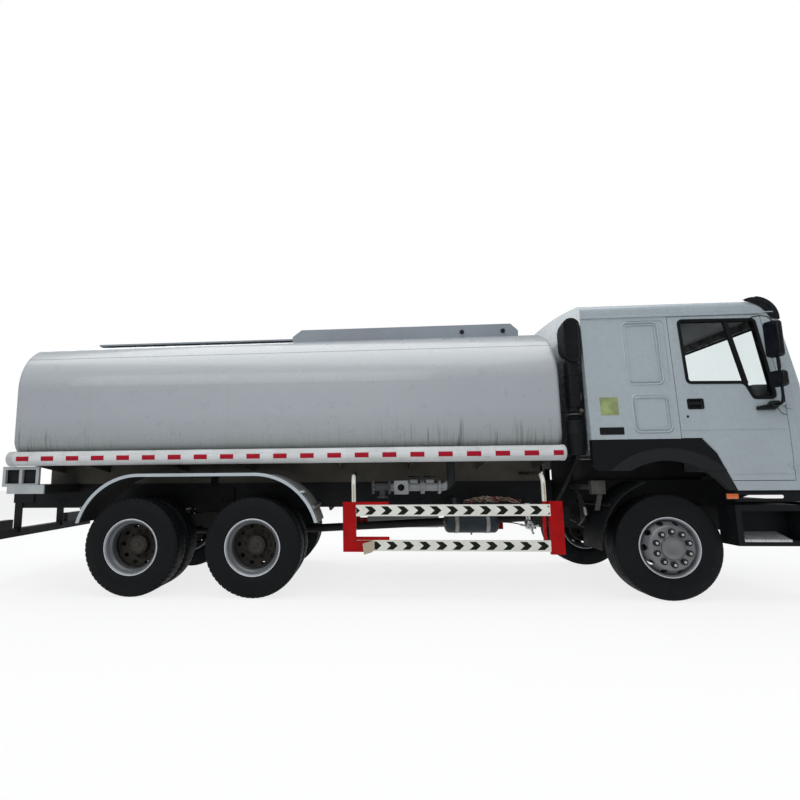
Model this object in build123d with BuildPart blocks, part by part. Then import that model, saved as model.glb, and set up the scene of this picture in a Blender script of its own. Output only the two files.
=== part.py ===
"""Forward-control 6x4 water tanker truck, built piece by piece.

Millimetres. +X is forward, +Y is the truck's left, +Z is up. The origin is on
the ground, under the middle of the truck's length.
"""
from build123d import *
import os
from math import asin, atan2, cos, degrees, hypot, radians, sin, sqrt

# ---------------------------------------------------------------- clearances
seat_gap = 0.3            # two still pieces that rest on each other
shut_gap = 6              # round a door
running_gap = 0.05        # a shaft in its bearing, on the radius

# ---------------------------------------------------------------- whole truck
total_length = 9100
body_width = 2500
front_overhang = 1480     # front bumper's face to the steered axle
wheelbase = 4300          # steered axle to the first driven axle
bogie_spacing = 1350      # first to second driven axle
front_end = total_length / 2
rear_end = -total_length / 2
front_axle_x = front_end - front_overhang
middle_axle_x = front_axle_x - wheelbase
rear_axle_x = middle_axle_x - bogie_spacing
bogie_x = (middle_axle_x + rear_axle_x) / 2

# ---------------------------------------------------------------- wheels
tyre_radius = 532
tyre_width = 300
tread_width = 216
lug_count = 22
lug_gap = 26
lug_depth = 15
lug_inner = 72          # how near the notches come to the middle of the tread
bead_radius = 254
rim_width = 236
lip_radius = 280
lip_thickness = 12
rim_thickness = 14
axle_z = tyre_radius
front_wheel_y = 1011      # middle of the steered tyre
outer_wheel_y = 1100      # middle of a driven pair's outer tyre
inner_wheel_y = 750       # middle of its inner tyre
disc_thickness = 14
drum_radius = 205
drum_wall = 15
stud_count = 10
stud_circle = 154
stud_radius = 15
hand_hole_count = 10
kingpin_y = 930
kingpin_radius = 22
spindle_radius = 45

# ---------------------------------------------------------------- frame
rail_y = 430              # outer face of a frame rail
rail_height = 300
rail_bottom = 904
rail_flange = 80
rail_plate = 10
rail_top = rail_bottom + rail_height
rail_rear = rear_end + 110
rail_front = front_end - 250
crossmember_width = 80
crossmember_height = 200
crossmembers_x = (front_axle_x + 1120, front_axle_x - 1220, middle_axle_x + 1850, middle_axle_x + 670,
                  bogie_x,
                  rear_axle_x - 440, rear_end + 350)

# ---------------------------------------------------------------- tank
cab_rear = front_axle_x - 725
tank_rear = rear_end + 445
tank_front = cab_rear - 237
tank_half_width = 1140
tank_bottom = 1530
tank_top = 3035
tank_foot_radius = 200    # the lower corners of the section
tank_shoulder_radius = 600
tank_shoulder_z = tank_top - 705   # where a side turns into the shoulder
tank_edge_radius = 50
tube_radius = 82          # hose carriers along both lower sides
tube_y = 1160
tube_z = tank_bottom - 23
tube_rear = tank_rear + 55
tube_front = tank_front - 20

# ---------------------------------------------------------------- cab
cab_front = front_end - 80
cab_wall = 50
cab_half_width = 1240
cab_half_width_top = 1185
cab_waist = 1730          # where the sides start to lean in
cab_gutter = 2960
cab_roof_top = cab_gutter + 230
cab_sill_bottom = 1105
cab_floor_z = 1480
cab_floor_thickness = 50
footwell_z = 1290
footwell_rear = front_axle_x + 720
tunnel_half_width = 420
screen_foot_z = 2000      # where the front starts to lean back
screen_head_x = cab_front - 140   # the front face at the gutter
front_return = 108        # how far the front panel wraps round the corner
corner_radius = 80
arch_x = front_axle_x
arch_z = 715
arch_radius = 695
arch_band = 125
arch_top = 1632           # the black arch panel's upper edge
arch_rear_bottom = 1310
hinge_x = cab_front - 40   # the cab tilts about this line
hinge_z = 1070
hinge_pin_radius = 15
hinge_lug_radius = 35
hinge_ear_radius = 26

door_rear = front_axle_x + 168
door_front = cab_front - 195
door_bottom = 1205
door_top = cab_gutter - 25
door_hinge_x = door_front + shut_gap / 2
door_hinge_y = cab_half_width + 10
door_hinges_z = (1340, 1960)
door_pin_radius = 5
door_barrel_radius = 8.7
door_barrel_length = 34
pillar_foot_z = 2030      # where the door's front edge starts to lean back
door_front_top = door_front + 20 - (cab_front - screen_head_x) * (door_top - pillar_foot_z) / (cab_gutter - screen_foot_z)

# ---------------------------------------------------------------- shared shapes


def cab_skin_y(z, inset=0.0):
    """Half width of the cab at height z, less an inset."""
    lean = (cab_half_width - cab_half_width_top) / (cab_gutter - cab_waist)
    return cab_half_width - max(0, z - cab_waist) * lean - inset


def screen_x(z, inset=0.0):
    """The front face of the cab at height z, less an inset."""
    lean = (cab_front - screen_head_x) / (cab_gutter - screen_foot_z)
    return cab_front - max(0, z - screen_foot_z) * lean - inset


def tank_section(clearance=0.0):
    """Tank section in the YZ plane: upright sides, broad shoulders, domed top."""
    side = tank_half_width + clearance
    foot = tank_foot_radius + clearance
    shoulder = tank_shoulder_radius + clearance
    shoulder_y = side - shoulder
    rise = tank_top + clearance - tank_shoulder_z
    top_radius = (shoulder_y**2 + rise**2 - shoulder**2) / (2 * (rise - shoulder))
    turn = atan2(shoulder_y, top_radius - rise)
    meet_y = top_radius * sin(turn)
    meet_z = tank_shoulder_z + rise - top_radius + top_radius * cos(turn)
    middle = (radians(90) - turn) / 2
    shoulder_mid = (shoulder_y + shoulder * cos(middle), tank_shoulder_z + shoulder * sin(middle))
    bottom = tank_bottom - clearance
    foot_z = bottom + foot
    bow = foot * (1 - cos(radians(45)))
    with BuildLine() as outline:
        ThreePointArc((-meet_y, meet_z), (0, tank_top + clearance), (meet_y, meet_z))
        ThreePointArc((meet_y, meet_z), shoulder_mid, (side, tank_shoulder_z))
        Line((side, tank_shoulder_z), (side, foot_z))
        ThreePointArc((side, foot_z), (side - bow, bottom + bow), (side - foot, bottom))
        Line((side - foot, bottom), (foot - side, bottom))
        ThreePointArc((foot - side, bottom), (bow - side, bottom + bow), (-side, foot_z))
        Line((-side, foot_z), (-side, tank_shoulder_z))
        ThreePointArc((-side, tank_shoulder_z), (-shoulder_mid[0], shoulder_mid[1]), (-meet_y, meet_z))
    return outline.line


def tank_top_z(y):
    """Height of the tank's top at a distance y from its middle."""
    shoulder_y = tank_half_width - tank_shoulder_radius
    rise = tank_top - tank_shoulder_z
    top_radius = (shoulder_y**2 + rise**2 - tank_shoulder_radius**2) / (2 * (rise - tank_shoulder_radius))
    return tank_top - top_radius + sqrt(top_radius**2 - y**2)


def leaf_stack(centre_x, low_z, high_z, half_length, leaves, thickness, shortening):
    """Outline faces of a leaf spring in the XZ plane, from its lowest leaf up.

    The pack is an arc that is low_z high at its middle and high_z at its ends
    for leaves that curve up, or the other way round for leaves that curve down.
    Each leaf is shorter than the next by the shortening at each end, and the
    longest is the one on the inside of the curve.
    """
    sagitta = high_z - low_z
    radius = (half_length**2 + sagitta**2) / (2 * abs(sagitta))
    up = 1 if sagitta > 0 else -1
    centre_z = low_z + up * radius
    with BuildSketch() as stack:
        for leaf in range(leaves):
            reach = half_length - (leaves - 1 - leaf if up > 0 else leaf) * shortening
            outer = radius - leaf * thickness if up > 0 else radius + (leaf + 1) * thickness
            inner = outer - thickness
            turn = asin(reach / radius)
            points = [(centre_x + way * r * sin(turn), centre_z - up * r * cos(turn)) for way, r in
                      ((-1, outer), (1, outer), (1, inner), (-1, inner))]
            with BuildLine():
                ThreePointArc(points[0], (centre_x, centre_z - up * outer), points[1])
                Line(points[1], points[2])
                ThreePointArc(points[2], (centre_x, centre_z - up * inner), points[3])
                Line(points[3], points[0])
            make_face()
    return stack.sketch


def finish(piece, name):
    """Label a finished piece and write it out."""
    piece.part.label = name
    export_step(piece.part, f"parts/{name}.step")


os.makedirs("parts", exist_ok=True)
side_names = {-1: "right", 1: "left"}

# ================================================================ frame
with BuildPart() as frame:
    for side in (-1, 1):
        with BuildSketch(Plane.YZ.offset(rail_rear)):
            with Locations((side * (rail_y - rail_flange / 2), rail_bottom + rail_height / 2)):
                Rectangle(rail_flange, rail_height)
            with Locations((side * (rail_y - rail_plate - rail_flange / 2), rail_bottom + rail_height / 2)):
                Rectangle(rail_flange, rail_height - 2 * rail_plate, mode=Mode.SUBTRACT)
        extrude(amount=rail_front - rail_rear)
    for x in crossmembers_x:
        with BuildSketch(Plane.XZ.offset(-(rail_y - rail_plate))):
            with Locations((x, rail_bottom + rail_height / 2)):
                Rectangle(crossmember_width, crossmember_height)
            with Locations((x + rail_plate, rail_bottom + rail_height / 2)):
                Rectangle(crossmember_width, crossmember_height - 2 * rail_plate, mode=Mode.SUBTRACT)
        extrude(amount=2 * (rail_y - rail_plate))

# The rear crossmember's plate takes a drawbar coupling.
hitch_spacing_y = 160
hitch_spacing_z = 100
hitch_hole_radius = 10.5
hitch_plate = 12
hitch_face_x = rail_rear + 20
hitch_z = rail_bottom + rail_height / 2

# The cab rests on a portal at the back and tilts on two stub pins at the front.
portal_x = cab_rear + 80
portal_width = 70
portal_post_y = 390
with BuildPart(mode=Mode.PRIVATE) as cab_supports:
    with BuildSketch(Plane.YZ.offset(portal_x - portal_width / 2)):
        with Locations((0, (rail_top + cab_floor_z - seat_gap) / 2)):
            Rectangle(2 * rail_y, cab_floor_z - seat_gap - rail_top)
        with Locations((0, rail_top + 70)):
            Rectangle(2 * (portal_post_y - 40), 2 * 70, mode=Mode.SUBTRACT)
    extrude(amount=portal_width)
    for side in (-1, 1):
        with BuildSketch(Plane.XZ.offset(-side * rail_y)):
            with BuildLine():
                Polyline((rail_front - 160, rail_top - 20), (rail_front - 160, rail_bottom + 90),
                         (rail_front, rail_bottom + 90), (hinge_x, hinge_z - hinge_ear_radius),
                         (hinge_x, hinge_z + hinge_ear_radius), (rail_front + 50, hinge_z + hinge_ear_radius),
                         (rail_front, rail_top - 20), close=True)
            make_face()
            with Locations((hinge_x, hinge_z)):
                Circle(hinge_ear_radius)
        extrude(amount=-side * 16)
        with BuildSketch(Plane.XZ.offset(-side * rail_y)):
            with Locations((hinge_x, hinge_z)):
                Circle(hinge_pin_radius)
        extrude(amount=-side * 70)
with BuildPart() as chassis_frame:
    add(frame.part)
    add(cab_supports.part)
    with Locations((hitch_face_x + hitch_plate / 2, 0, hitch_z)):
        Box(hitch_plate, 2 * rail_y - rail_plate, crossmember_height)
    with BuildSketch(Plane.YZ.offset(hitch_face_x - 1)):
        with Locations((0, hitch_z)):
            with GridLocations(hitch_spacing_y, hitch_spacing_z, 2, 2):
                Circle(hitch_hole_radius)
    extrude(amount=hitch_plate + 2, mode=Mode.SUBTRACT)
finish(chassis_frame, "frame")

# ================================================================ front bumper and steps
bumper_top = 985
bumper_bottom = 560
bumper_rear = front_end - 220
bumper_wall = 45
step_rear = front_axle_x + 602
step_inner_y = 985
step_top = 960
step_bottom = 540
tread_z = 612
headlamp_y = 960
headlamp_width = 330
headlamp_height = 150
headlamp_z = 800
with BuildPart() as front_bumper:
    with BuildSketch(Plane.XY.offset(bumper_bottom)):
        with Locations(((step_rear + front_end) / 2, 0)):
            Rectangle(front_end - step_rear, body_width - 20)
        with Locations(((step_rear + front_end) / 2 - bumper_wall - 60, 0)):
            Rectangle(front_end - step_rear + 10, 2 * step_inner_y, mode=Mode.SUBTRACT)
    extrude(amount=bumper_top - bumper_bottom)
    fillet(front_bumper.edges().filter_by(Axis.Z).group_by(Axis.X)[-1], 110)
    with BuildSketch(Plane.XZ.offset(-body_width)):
        with Locations(((step_rear + bumper_rear) / 2 - 20, (step_top + bumper_top + 40) / 2)):
            Rectangle(bumper_rear - step_rear + 40, bumper_top + 40 - step_top)
    extrude(amount=2 * body_width, mode=Mode.SUBTRACT)
    for side in (-1, 1):
        with Locations(((step_rear + bumper_rear) / 2, side * (step_inner_y + 70 + 200), (tread_z + 900) / 2)):
            Box(bumper_rear - step_rear - 110, 400, 900 - tread_z, mode=Mode.SUBTRACT)
        with Locations((front_end, side * headlamp_y, headlamp_z)):
            Box(120, headlamp_width, headlamp_height, mode=Mode.SUBTRACT)
    # lower grille: three slots across the middle
    for z in (650, 730, 810):
        with Locations((front_end, 0, z)):
            Box(60, 1150, 46, mode=Mode.SUBTRACT)
    # towing eyes' openings
    for side in (-1, 1):
        with Locations((front_end, side * 660, 730)):
            Box(60, 90, 90, mode=Mode.SUBTRACT)
    # arms that bolt to the front ends of the rails
    for side in (-1, 1):
        with Locations(((rail_front + seat_gap + front_end - 90) / 2, side * (rail_y - 45), 945)):
            Box(front_end - 90 - rail_front - seat_gap, 80, 78)
finish(front_bumper, "front_bumper")

with BuildPart() as headlamps:
    for side in (-1, 1):
        with Locations((front_end - 42, side * headlamp_y, headlamp_z)):
            Box(35, headlamp_width - 2 * seat_gap, headlamp_height - 2 * seat_gap)
finish(headlamps, "headlamps")

# ================================================================ engine and gearbox
engine_half_width = 330
engine_rear = front_axle_x - 350
engine_front = front_axle_x + 890
engine_bottom = 660
engine_top = cab_floor_z - 30
gearbox_rear = engine_rear - 670
with BuildPart() as engine:
    with Locations(((engine_rear + engine_front) / 2, 0, (engine_bottom + engine_top) / 2)):
        Box(engine_front - engine_rear, 2 * engine_half_width, engine_top - engine_bottom)
    fillet(engine.edges().filter_by(Axis.X), 40)
    with Locations(((gearbox_rear + engine_rear) / 2, 0, (640 + 1120) / 2)):
        Box(engine_rear - gearbox_rear, 440, 1120 - 640)
    # mounting feet on the rails' lower flanges
    for side in (-1, 1):
        for x in (engine_rear + 180, engine_front - 260):
            with Locations((x, side * (engine_half_width + 20), rail_bottom + rail_plate + seat_gap + 30)):
                Box(100, 100, 60)
finish(engine, "engine")

# ================================================================ front axle and its springs
beam_width = 90
front_boss_radius = 48
front_boss_height = 120
spring_y = 435
spring_width = 90
front_spring_half = 760
front_spring_end_z = 800
spring_leaves = 4
leaf_thickness = 20
leaf_step = 130
hanger_length = 90
with BuildPart() as front_axle:
    # dropped beam between the kingpin bosses, hollowed to an I section
    with BuildSketch(Plane.YZ.offset(front_axle_x - beam_width / 2)):
        with BuildLine():
            Polyline((-kingpin_y, axle_z - 42), (-700, axle_z - 42), (-560, axle_z - 100), (560, axle_z - 100),
                     (700, axle_z - 42), (kingpin_y, axle_z - 42), (kingpin_y, axle_z + 42), (690, axle_z + 42),
                     (550, axle_z - 10), (-550, axle_z - 10), (-690, axle_z + 42), (-kingpin_y, axle_z + 42),
                     close=True)
        make_face()
    extrude(amount=beam_width)
    for face in (-1, 1):
        with BuildSketch(Plane.YZ.offset(front_axle_x + face * beam_width / 2)):
            with Locations((0, axle_z - 55)):
                Rectangle(1040, 50)
        extrude(amount=-face * 30, mode=Mode.SUBTRACT)
    for side in (-1, 1):
        with Locations((front_axle_x, side * kingpin_y, axle_z)):
            Cylinder(front_boss_radius, front_boss_height)
            Cylinder(kingpin_radius + running_gap, front_boss_height + 2, mode=Mode.SUBTRACT)
        # leaf spring, clamped on the beam and hung from the rail
        with BuildSketch(Plane.XZ.offset(-side * (spring_y - spring_width / 2))):
            add(leaf_stack(front_axle_x, axle_z - 14, front_spring_end_z - spring_leaves * leaf_thickness,
                           front_spring_half, spring_leaves, leaf_thickness, leaf_step))
            with Locations((front_axle_x, axle_z + 40)):
                Rectangle(150, 150)
            hanger_foot = front_spring_end_z - 44
            for end in (-1, 1):
                with Locations((front_axle_x + end * (front_spring_half - 10),
                                (hanger_foot + rail_bottom - seat_gap) / 2)):
                    Rectangle(hanger_length, rail_bottom - seat_gap - hanger_foot)
        extrude(amount=-side * spring_width)
finish(front_axle, "front_axle")

# ================================================================ driven axles
axle_tube_radius = 62
axle_flange_y = 634
rear_spring_y = 505
diff_radius = 205
rear_spindle_end = 1010
rear_spindle_radius = 50
backing_radius = 200
saddle_top = axle_z + 90
with BuildPart() as rear_axles:
    for x in (middle_axle_x, rear_axle_x):
        with Locations(Location((x, 0, axle_z), (90, 0, 0))):
            Cylinder(axle_tube_radius, 2 * axle_flange_y)
            Cylinder(rear_spindle_radius, 2 * rear_spindle_end)
        with Locations((x, 0, axle_z)):
            Sphere(diff_radius)
        with Locations(Location((x + diff_radius, 0, axle_z + 60), (0, 90, 0))):
            Cylinder(85, 150)
        for side in (-1, 1):
            with Locations(Location((x, side * (axle_flange_y - 7), axle_z), (90, 0, 0))):
                Cylinder(backing_radius, 14)
            with Locations((x, side * rear_spring_y, (axle_z + saddle_top) / 2)):
                Box(150, spring_width, saddle_top - axle_z)
finish(rear_axles, "rear_axles")

# ================================================================ bogie springs
trunnion_z = 760
bogie_spring_reach = bogie_spacing / 2 + 70
spring_rise = 66
bogie_spring_depth = 150
bogie_leaves = 6
with BuildPart() as rear_springs:
    for side in (-1, 1):
        with BuildSketch(Plane.XZ.offset(-side * (rear_spring_y - spring_width / 2))):
            add(leaf_stack(bogie_x, saddle_top + spring_rise, saddle_top + seat_gap, bogie_spring_reach,
                           bogie_leaves, bogie_spring_depth / bogie_leaves, 100))
        extrude(amount=-side * spring_width)
        # trunnion bracket from the rail down to the spring's saddle
        with BuildSketch(Plane.XZ.offset(-side * (rail_y + seat_gap))):
            with BuildLine():
                Polyline((bogie_x - 260, rail_top - 60), (bogie_x - 260, rail_bottom + 40),
                         (bogie_x - 110, trunnion_z - 60), (bogie_x + 110, trunnion_z - 60),
                         (bogie_x + 260, rail_bottom + 40), (bogie_x + 260, rail_top - 60), close=True)
            make_face()
        extrude(amount=-side * (rear_spring_y - spring_width / 2 - rail_y - seat_gap))
        with Locations((bogie_x, side * rear_spring_y, saddle_top + spring_rise + bogie_spring_depth / 2)):
            Box(180, spring_width + 30, bogie_spring_depth + 40)
finish(rear_springs, "rear_springs")

# ================================================================ propeller shafts
shaft_radius = 50
nose_length = 76
with BuildPart() as prop_shafts:
    for start, end in (((gearbox_rear, 740), (middle_axle_x + diff_radius + nose_length, axle_z + 60)),
                       ((middle_axle_x - diff_radius, axle_z + 40),
                        (rear_axle_x + diff_radius + nose_length, axle_z + 60))):
        run = hypot(end[0] - start[0], end[1] - start[1])
        slope = degrees(atan2(end[1] - start[1], end[0] - start[0]))
        middle = ((start[0] + end[0]) / 2, 0, (start[1] + end[1]) / 2)
        with Locations(Location(middle, (0, 90 - slope, 0))):
            Cylinder(shaft_radius, run - 24)
        for point, inward in ((start, -1), (end, 1)):
            with Locations(Location((point[0] + inward * (9 + seat_gap), 0, point[1]), (0, 90, 0))):
                Cylinder(80, 18)
finish(prop_shafts, "prop_shafts")

# ================================================================ tank and its cradle
with BuildPart() as tank:
    with BuildSketch(Plane.YZ.offset(tank_rear)):
        with BuildLine():
            add(tank_section())
        make_face()
    extrude(amount=tank_front - tank_rear)
    fillet(tank.faces().filter_by(Axis.X).edges(), tank_edge_radius)
finish(tank, "tank")

cradle_y = 385            # middle of a cradle beam, over the rail
cradle_beam_width = 80
guard_inner_y = cradle_y + cradle_beam_width / 2
saddle_bottom = tank_bottom - 188
saddle_reach = 1080
saddle_plate = 16
saddles_x = (tank_rear + 205, tank_rear + 815, bogie_x - 345, bogie_x + 505, tank_front - 2408, tank_front - 1588,
             tank_front - 768, tank_front - 108)
with BuildPart() as tank_cradle:
    for side in (-1, 1):
        with Locations((((tank_rear + tank_front) / 2), side * cradle_y, (rail_top + tank_bottom) / 2)):
            Box(tank_front - tank_rear - 60, cradle_beam_width, tank_bottom - rail_top - 2 * seat_gap)
    for x in saddles_x:
        with BuildSketch(Plane.YZ.offset(x - saddle_plate / 2)):
            with BuildLine():
                Polyline((-saddle_reach, tank_bottom + 130), (-saddle_reach, tank_bottom - 90),
                         (-cradle_y, saddle_bottom), (cradle_y, saddle_bottom),
                         (saddle_reach, tank_bottom - 90), (saddle_reach, tank_bottom + 130), close=True)
            make_face()
            with BuildLine():
                add(tank_section(seat_gap))
            make_face(mode=Mode.SUBTRACT)
            for side in (-1, 1):
                with Locations((side * tube_y, tube_z)):
                    Circle(tube_radius + seat_gap, mode=Mode.SUBTRACT)
        extrude(amount=saddle_plate)
finish(tank_cradle, "tank_cradle")

with BuildPart() as hose_tubes:
    for side in (-1, 1):
        with Locations(Location(((tube_rear + tube_front) / 2, side * tube_y, tube_z), (0, 90, 0))):
            Cylinder(tube_radius, tube_front - tube_rear)
finish(hose_tubes, "hose_tubes")

# ================================================================ catwalk, coaming and manhole
coaming_rear = tank_front - 3039
coaming_front = tank_front - 163
coaming_y = 330
coaming_top = tank_top + 143
coaming_plate = 8
walk_rear = tank_rear + 505
walk_half_width = 280
walk_z = tank_top + 25
bearer_count = 5
walk_thickness = 20
manhole_x = coaming_front - 495
manhole_radius = 235
manhole_top = tank_top + 70
lid_radius = 255
breather_height = 100
lid_thickness = 26
lid_pin_radius = 9
lid_pin_x = manhole_x - lid_radius - 22
lid_pin_z = manhole_top + 14
with BuildPart() as catwalk:
    # upstand plates either side of the fittings, sloped down at both ends
    for side in (-1, 1):
        foot = tank_top_z(coaming_y) + seat_gap
        with BuildSketch(Plane.XZ.offset(-side * coaming_y)):
            with BuildLine():
                Polyline((coaming_rear, foot), (coaming_front, foot), (coaming_front, coaming_top - 90),
                         (coaming_front - 90, coaming_top), (coaming_rear + 120, coaming_top),
                         (coaming_rear, coaming_top - 90), close=True)
            make_face()
        extrude(amount=-side * coaming_plate)
    for x in (coaming_rear, coaming_front - coaming_plate):
        with Locations((x + coaming_plate / 2, 0, (tank_top + 1 + coaming_top - 90) / 2)):
            Box(coaming_plate, 2 * coaming_y, coaming_top - 90 - tank_top - 1)
    # walkway on cross bearers
    with Locations(((walk_rear + coaming_rear + 4) / 2, 0, walk_z + walk_thickness / 2)):
        Box(coaming_rear + 4 - walk_rear, 2 * walk_half_width, walk_thickness)
    for bearer in range(bearer_count):
        x = walk_rear + 40 + bearer * (coaming_rear - 79 - walk_rear) / (bearer_count - 1)
        with Locations((x, 0, (tank_top + seat_gap + walk_z) / 2)):
            Box(50, 120, walk_z - tank_top - seat_gap)
finish(catwalk, "catwalk")

with BuildPart() as manhole_neck:
    with Locations((manhole_x, 0, (tank_top + manhole_top) / 2)):
        Cylinder(manhole_radius, manhole_top - tank_top - 2 * seat_gap)
    # ears that hold the lid's pin
    for side in (-1, 1):
        with BuildSketch(Plane.XZ.offset(-side * 60)):
            with BuildLine():
                Polyline((manhole_x - manhole_radius + 20, tank_top + 20), (manhole_x - manhole_radius + 20, manhole_top - 20),
                         (lid_pin_x + 16, manhole_top - 20), (lid_pin_x + 14, lid_pin_z + 8),
                         (lid_pin_x - 16, lid_pin_z + 8),
                         (lid_pin_x - 16, lid_pin_z - 20), (lid_pin_x + 10, tank_top + 20), close=True)
            make_face()
        extrude(amount=-side * 12)
    with Locations(Location((lid_pin_x, 0, lid_pin_z), (90, 0, 0))):
        Cylinder(lid_pin_radius, 144)
    # breather valves on the tank's crown
    for x in (manhole_x - 560, manhole_x + 340):
        with Locations((x, 0, tank_top + breather_height / 2)):
            Cylinder(45, breather_height - 2 * seat_gap)
finish(manhole_neck, "manhole_neck")

with BuildPart() as manhole_lid:
    with Locations((manhole_x, 0, manhole_top + lid_thickness / 2)):
        Cylinder(lid_radius, lid_thickness)
    with Locations((manhole_x, 0, manhole_top + lid_thickness + 12)):
        Cylinder(60, 24)
    with Locations((lid_pin_x + 34, 0, manhole_top + lid_thickness / 2 + 2)):
        Box(70, 90, lid_thickness - 4)
    with Locations(Location((lid_pin_x, 0, lid_pin_z), (90, 0, 0))):
        Cylinder(20, 90)
        Cylinder(lid_pin_radius + running_gap, 100, mode=Mode.SUBTRACT)
finish(manhole_lid, "manhole_lid")

# ================================================================ side guards
guard_rear = middle_axle_x + 974
guard_front = tank_front - 89
guard_y = 1196            # middle of the guard's plane
guard_rail_thickness = 26
guard_frame_thickness = 40
guard_bottom = 486
guard_top = 1004
guard_arm_top = 1290
# rails: (low, high, how far behind the first frame's start it begins, how far before the last one's end it stops)
guard_rails = ((855, 974, 142, 140), (496, 608, 316, 95))
# red end frames: (start, width) of the posts, and the arms that lie along the rails
rear_post_width = 142
front_post_width = 140
inner_post_width = 24
frame_arm = 490
frame_arm_depth = 34
with BuildPart() as side_guards:
    for side in (-1, 1):
        for low, high, start, stop in guard_rails:
            with Locations(((guard_rear + start + guard_front - stop) / 2, side * guard_y, (low + high) / 2)):
                Box(guard_front - stop - guard_rear - start + 2, guard_rail_thickness, high - low)
        for x, width, low, high in ((guard_rear, rear_post_width, guard_bottom, guard_top),
                                    (guard_front - front_post_width, front_post_width, guard_bottom - 20, guard_top),
                                    (guard_front - front_post_width - 60, inner_post_width, 600, 860),
                                    (guard_rear, frame_arm, guard_top - frame_arm_depth, guard_top),
                                    (guard_rear, frame_arm, 606, 606 + frame_arm_depth),
                                    (guard_rear, frame_arm - 180, guard_bottom, guard_bottom + frame_arm_depth)):
            with Locations((x + width / 2, side * (guard_y - 7), (low + high) / 2)):
                Box(width, guard_frame_thickness, high - low)
        # the lower rail's tail is knocked out of line
        with BuildSketch(Plane.XZ.offset(-side * (guard_y + 12))):
            with BuildLine():
                Polyline((guard_rear + 330, 608), (guard_rear + 206, 572), (guard_rear + 218, 462),
                         (guard_rear + 300, 486), (guard_rear + 330, 520), close=True)
            make_face()
        extrude(amount=-side * 30)
        # curved hangers from the cradle's beams
        for arm_x in (guard_rear + 120, guard_front - 174):
            with BuildLine():
                arm = FilletPolyline((arm_x, side * (guard_y - 7), guard_top - 30),
                                     (arm_x, side * (guard_y - 7), guard_arm_top),
                                     (arm_x, side * (guard_inner_y + seat_gap), guard_arm_top), radius=110)
            with BuildSketch(Plane(origin=arm @ 0, z_dir=arm % 0)):
                Circle(22)
            sweep(path=arm)
finish(side_guards, "side_guards")

# ================================================================ mudguards
mud_radius = 720
mud_plate = 12
mud_top_z = 1325
mud_inner_y = 590
mud_outer_y = 1250
mud_centre_z = mud_top_z - mud_radius
mud_rear_centre_x = rear_axle_x + 60
mud_front_centre_x = middle_axle_x + 10
mud_end_z = 790
mud_lip = 34
mud_ribs = 6
mud_rib_height = 12
half_mud_radius = 690
half_mud_end_z = 510
with BuildPart() as mudguards:
    for side in (-1, 1):
        for reach, depth, width in ((0, mud_plate, mud_outer_y - mud_inner_y), (0, mud_lip, mud_plate)):
            with BuildSketch(Plane.XZ.offset(-side * mud_outer_y)):
                with Locations(((mud_rear_centre_x + mud_front_centre_x) / 2, mud_centre_z)):
                    SlotCenterToCenter(mud_front_centre_x - mud_rear_centre_x, 2 * mud_radius)
                    SlotCenterToCenter(mud_front_centre_x - mud_rear_centre_x, 2 * (mud_radius - depth),
                                       mode=Mode.SUBTRACT)
                with Locations(((mud_rear_centre_x + mud_front_centre_x) / 2, mud_end_z - 1000)):
                    Rectangle(4000, 2000, mode=Mode.SUBTRACT)
            extrude(amount=side * width)
        # ribs along the front quarter
        for rib in range(mud_ribs):
            rib_y = mud_inner_y + 60 + rib * (mud_outer_y - mud_inner_y - 120) / (mud_ribs - 1)
            with BuildSketch(Plane.XZ.offset(-side * (rib_y - 8))):
                with Locations((mud_front_centre_x, mud_centre_z)):
                    Circle(mud_radius + mud_rib_height)
                    Circle(mud_radius - 2, mode=Mode.SUBTRACT)
                with Locations((mud_front_centre_x + 200 - 1000, mud_centre_z)):
                    Rectangle(2000, 3000, mode=Mode.SUBTRACT)
                with Locations((mud_front_centre_x, mud_end_z - 1000)):
                    Rectangle(4000, 2000, mode=Mode.SUBTRACT)
            extrude(amount=-side * 16)
        # stays out from the frame: one under the flat top, one at each end
        with Locations(Location((bogie_x, side * (rail_y + seat_gap + mud_outer_y - 20) / 2,
                                 mud_top_z - mud_plate - 18), (90, 0, 0))):
            Cylinder(20, mud_outer_y - 20 - rail_y - seat_gap)
        with Locations((bogie_x, side * (rail_y + seat_gap + 6), (1160 + mud_top_z - mud_plate) / 2)):
            Box(90, 12, mud_top_z - mud_plate - 1160)
        for centre, way in ((mud_front_centre_x, 1), (mud_rear_centre_x, -1)):
            stay_x = centre + way * (sqrt(mud_radius**2 - (950 - mud_centre_z) ** 2) + 12)
            with Locations(Location((stay_x, side * (rail_y + seat_gap + mud_outer_y - 20) / 2, 950), (90, 0, 0))):
                Cylinder(20, mud_outer_y - 20 - rail_y - seat_gap)
finish(mudguards, "mudguards")

half_mud_inner_y = 800
half_mud_outer_y = 1236
with BuildPart() as cab_mudguards:
    for side in (-1, 1):
        with BuildSketch(Plane.XZ.offset(-side * half_mud_outer_y)):
            with Locations((front_axle_x, axle_z)):
                Circle(half_mud_radius + 14)
                Circle(half_mud_radius, mode=Mode.SUBTRACT)
            with Locations((front_axle_x - 220 + 1000, axle_z)):
                Rectangle(2000, 3000, mode=Mode.SUBTRACT)
            with Locations((front_axle_x, half_mud_end_z - 1000)):
                Rectangle(3000, 2000, mode=Mode.SUBTRACT)
        extrude(amount=side * (half_mud_outer_y - half_mud_inner_y))
        stay_x = front_axle_x - sqrt((half_mud_radius + 14) ** 2 - (960 - axle_z) ** 2) - 14
        with Locations(Location((stay_x, side * (rail_y + seat_gap + half_mud_outer_y - 40) / 2, 960), (90, 0, 0))):
            Cylinder(20, half_mud_outer_y - 40 - rail_y - seat_gap)
finish(cab_mudguards, "cab_mudguards")

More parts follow.
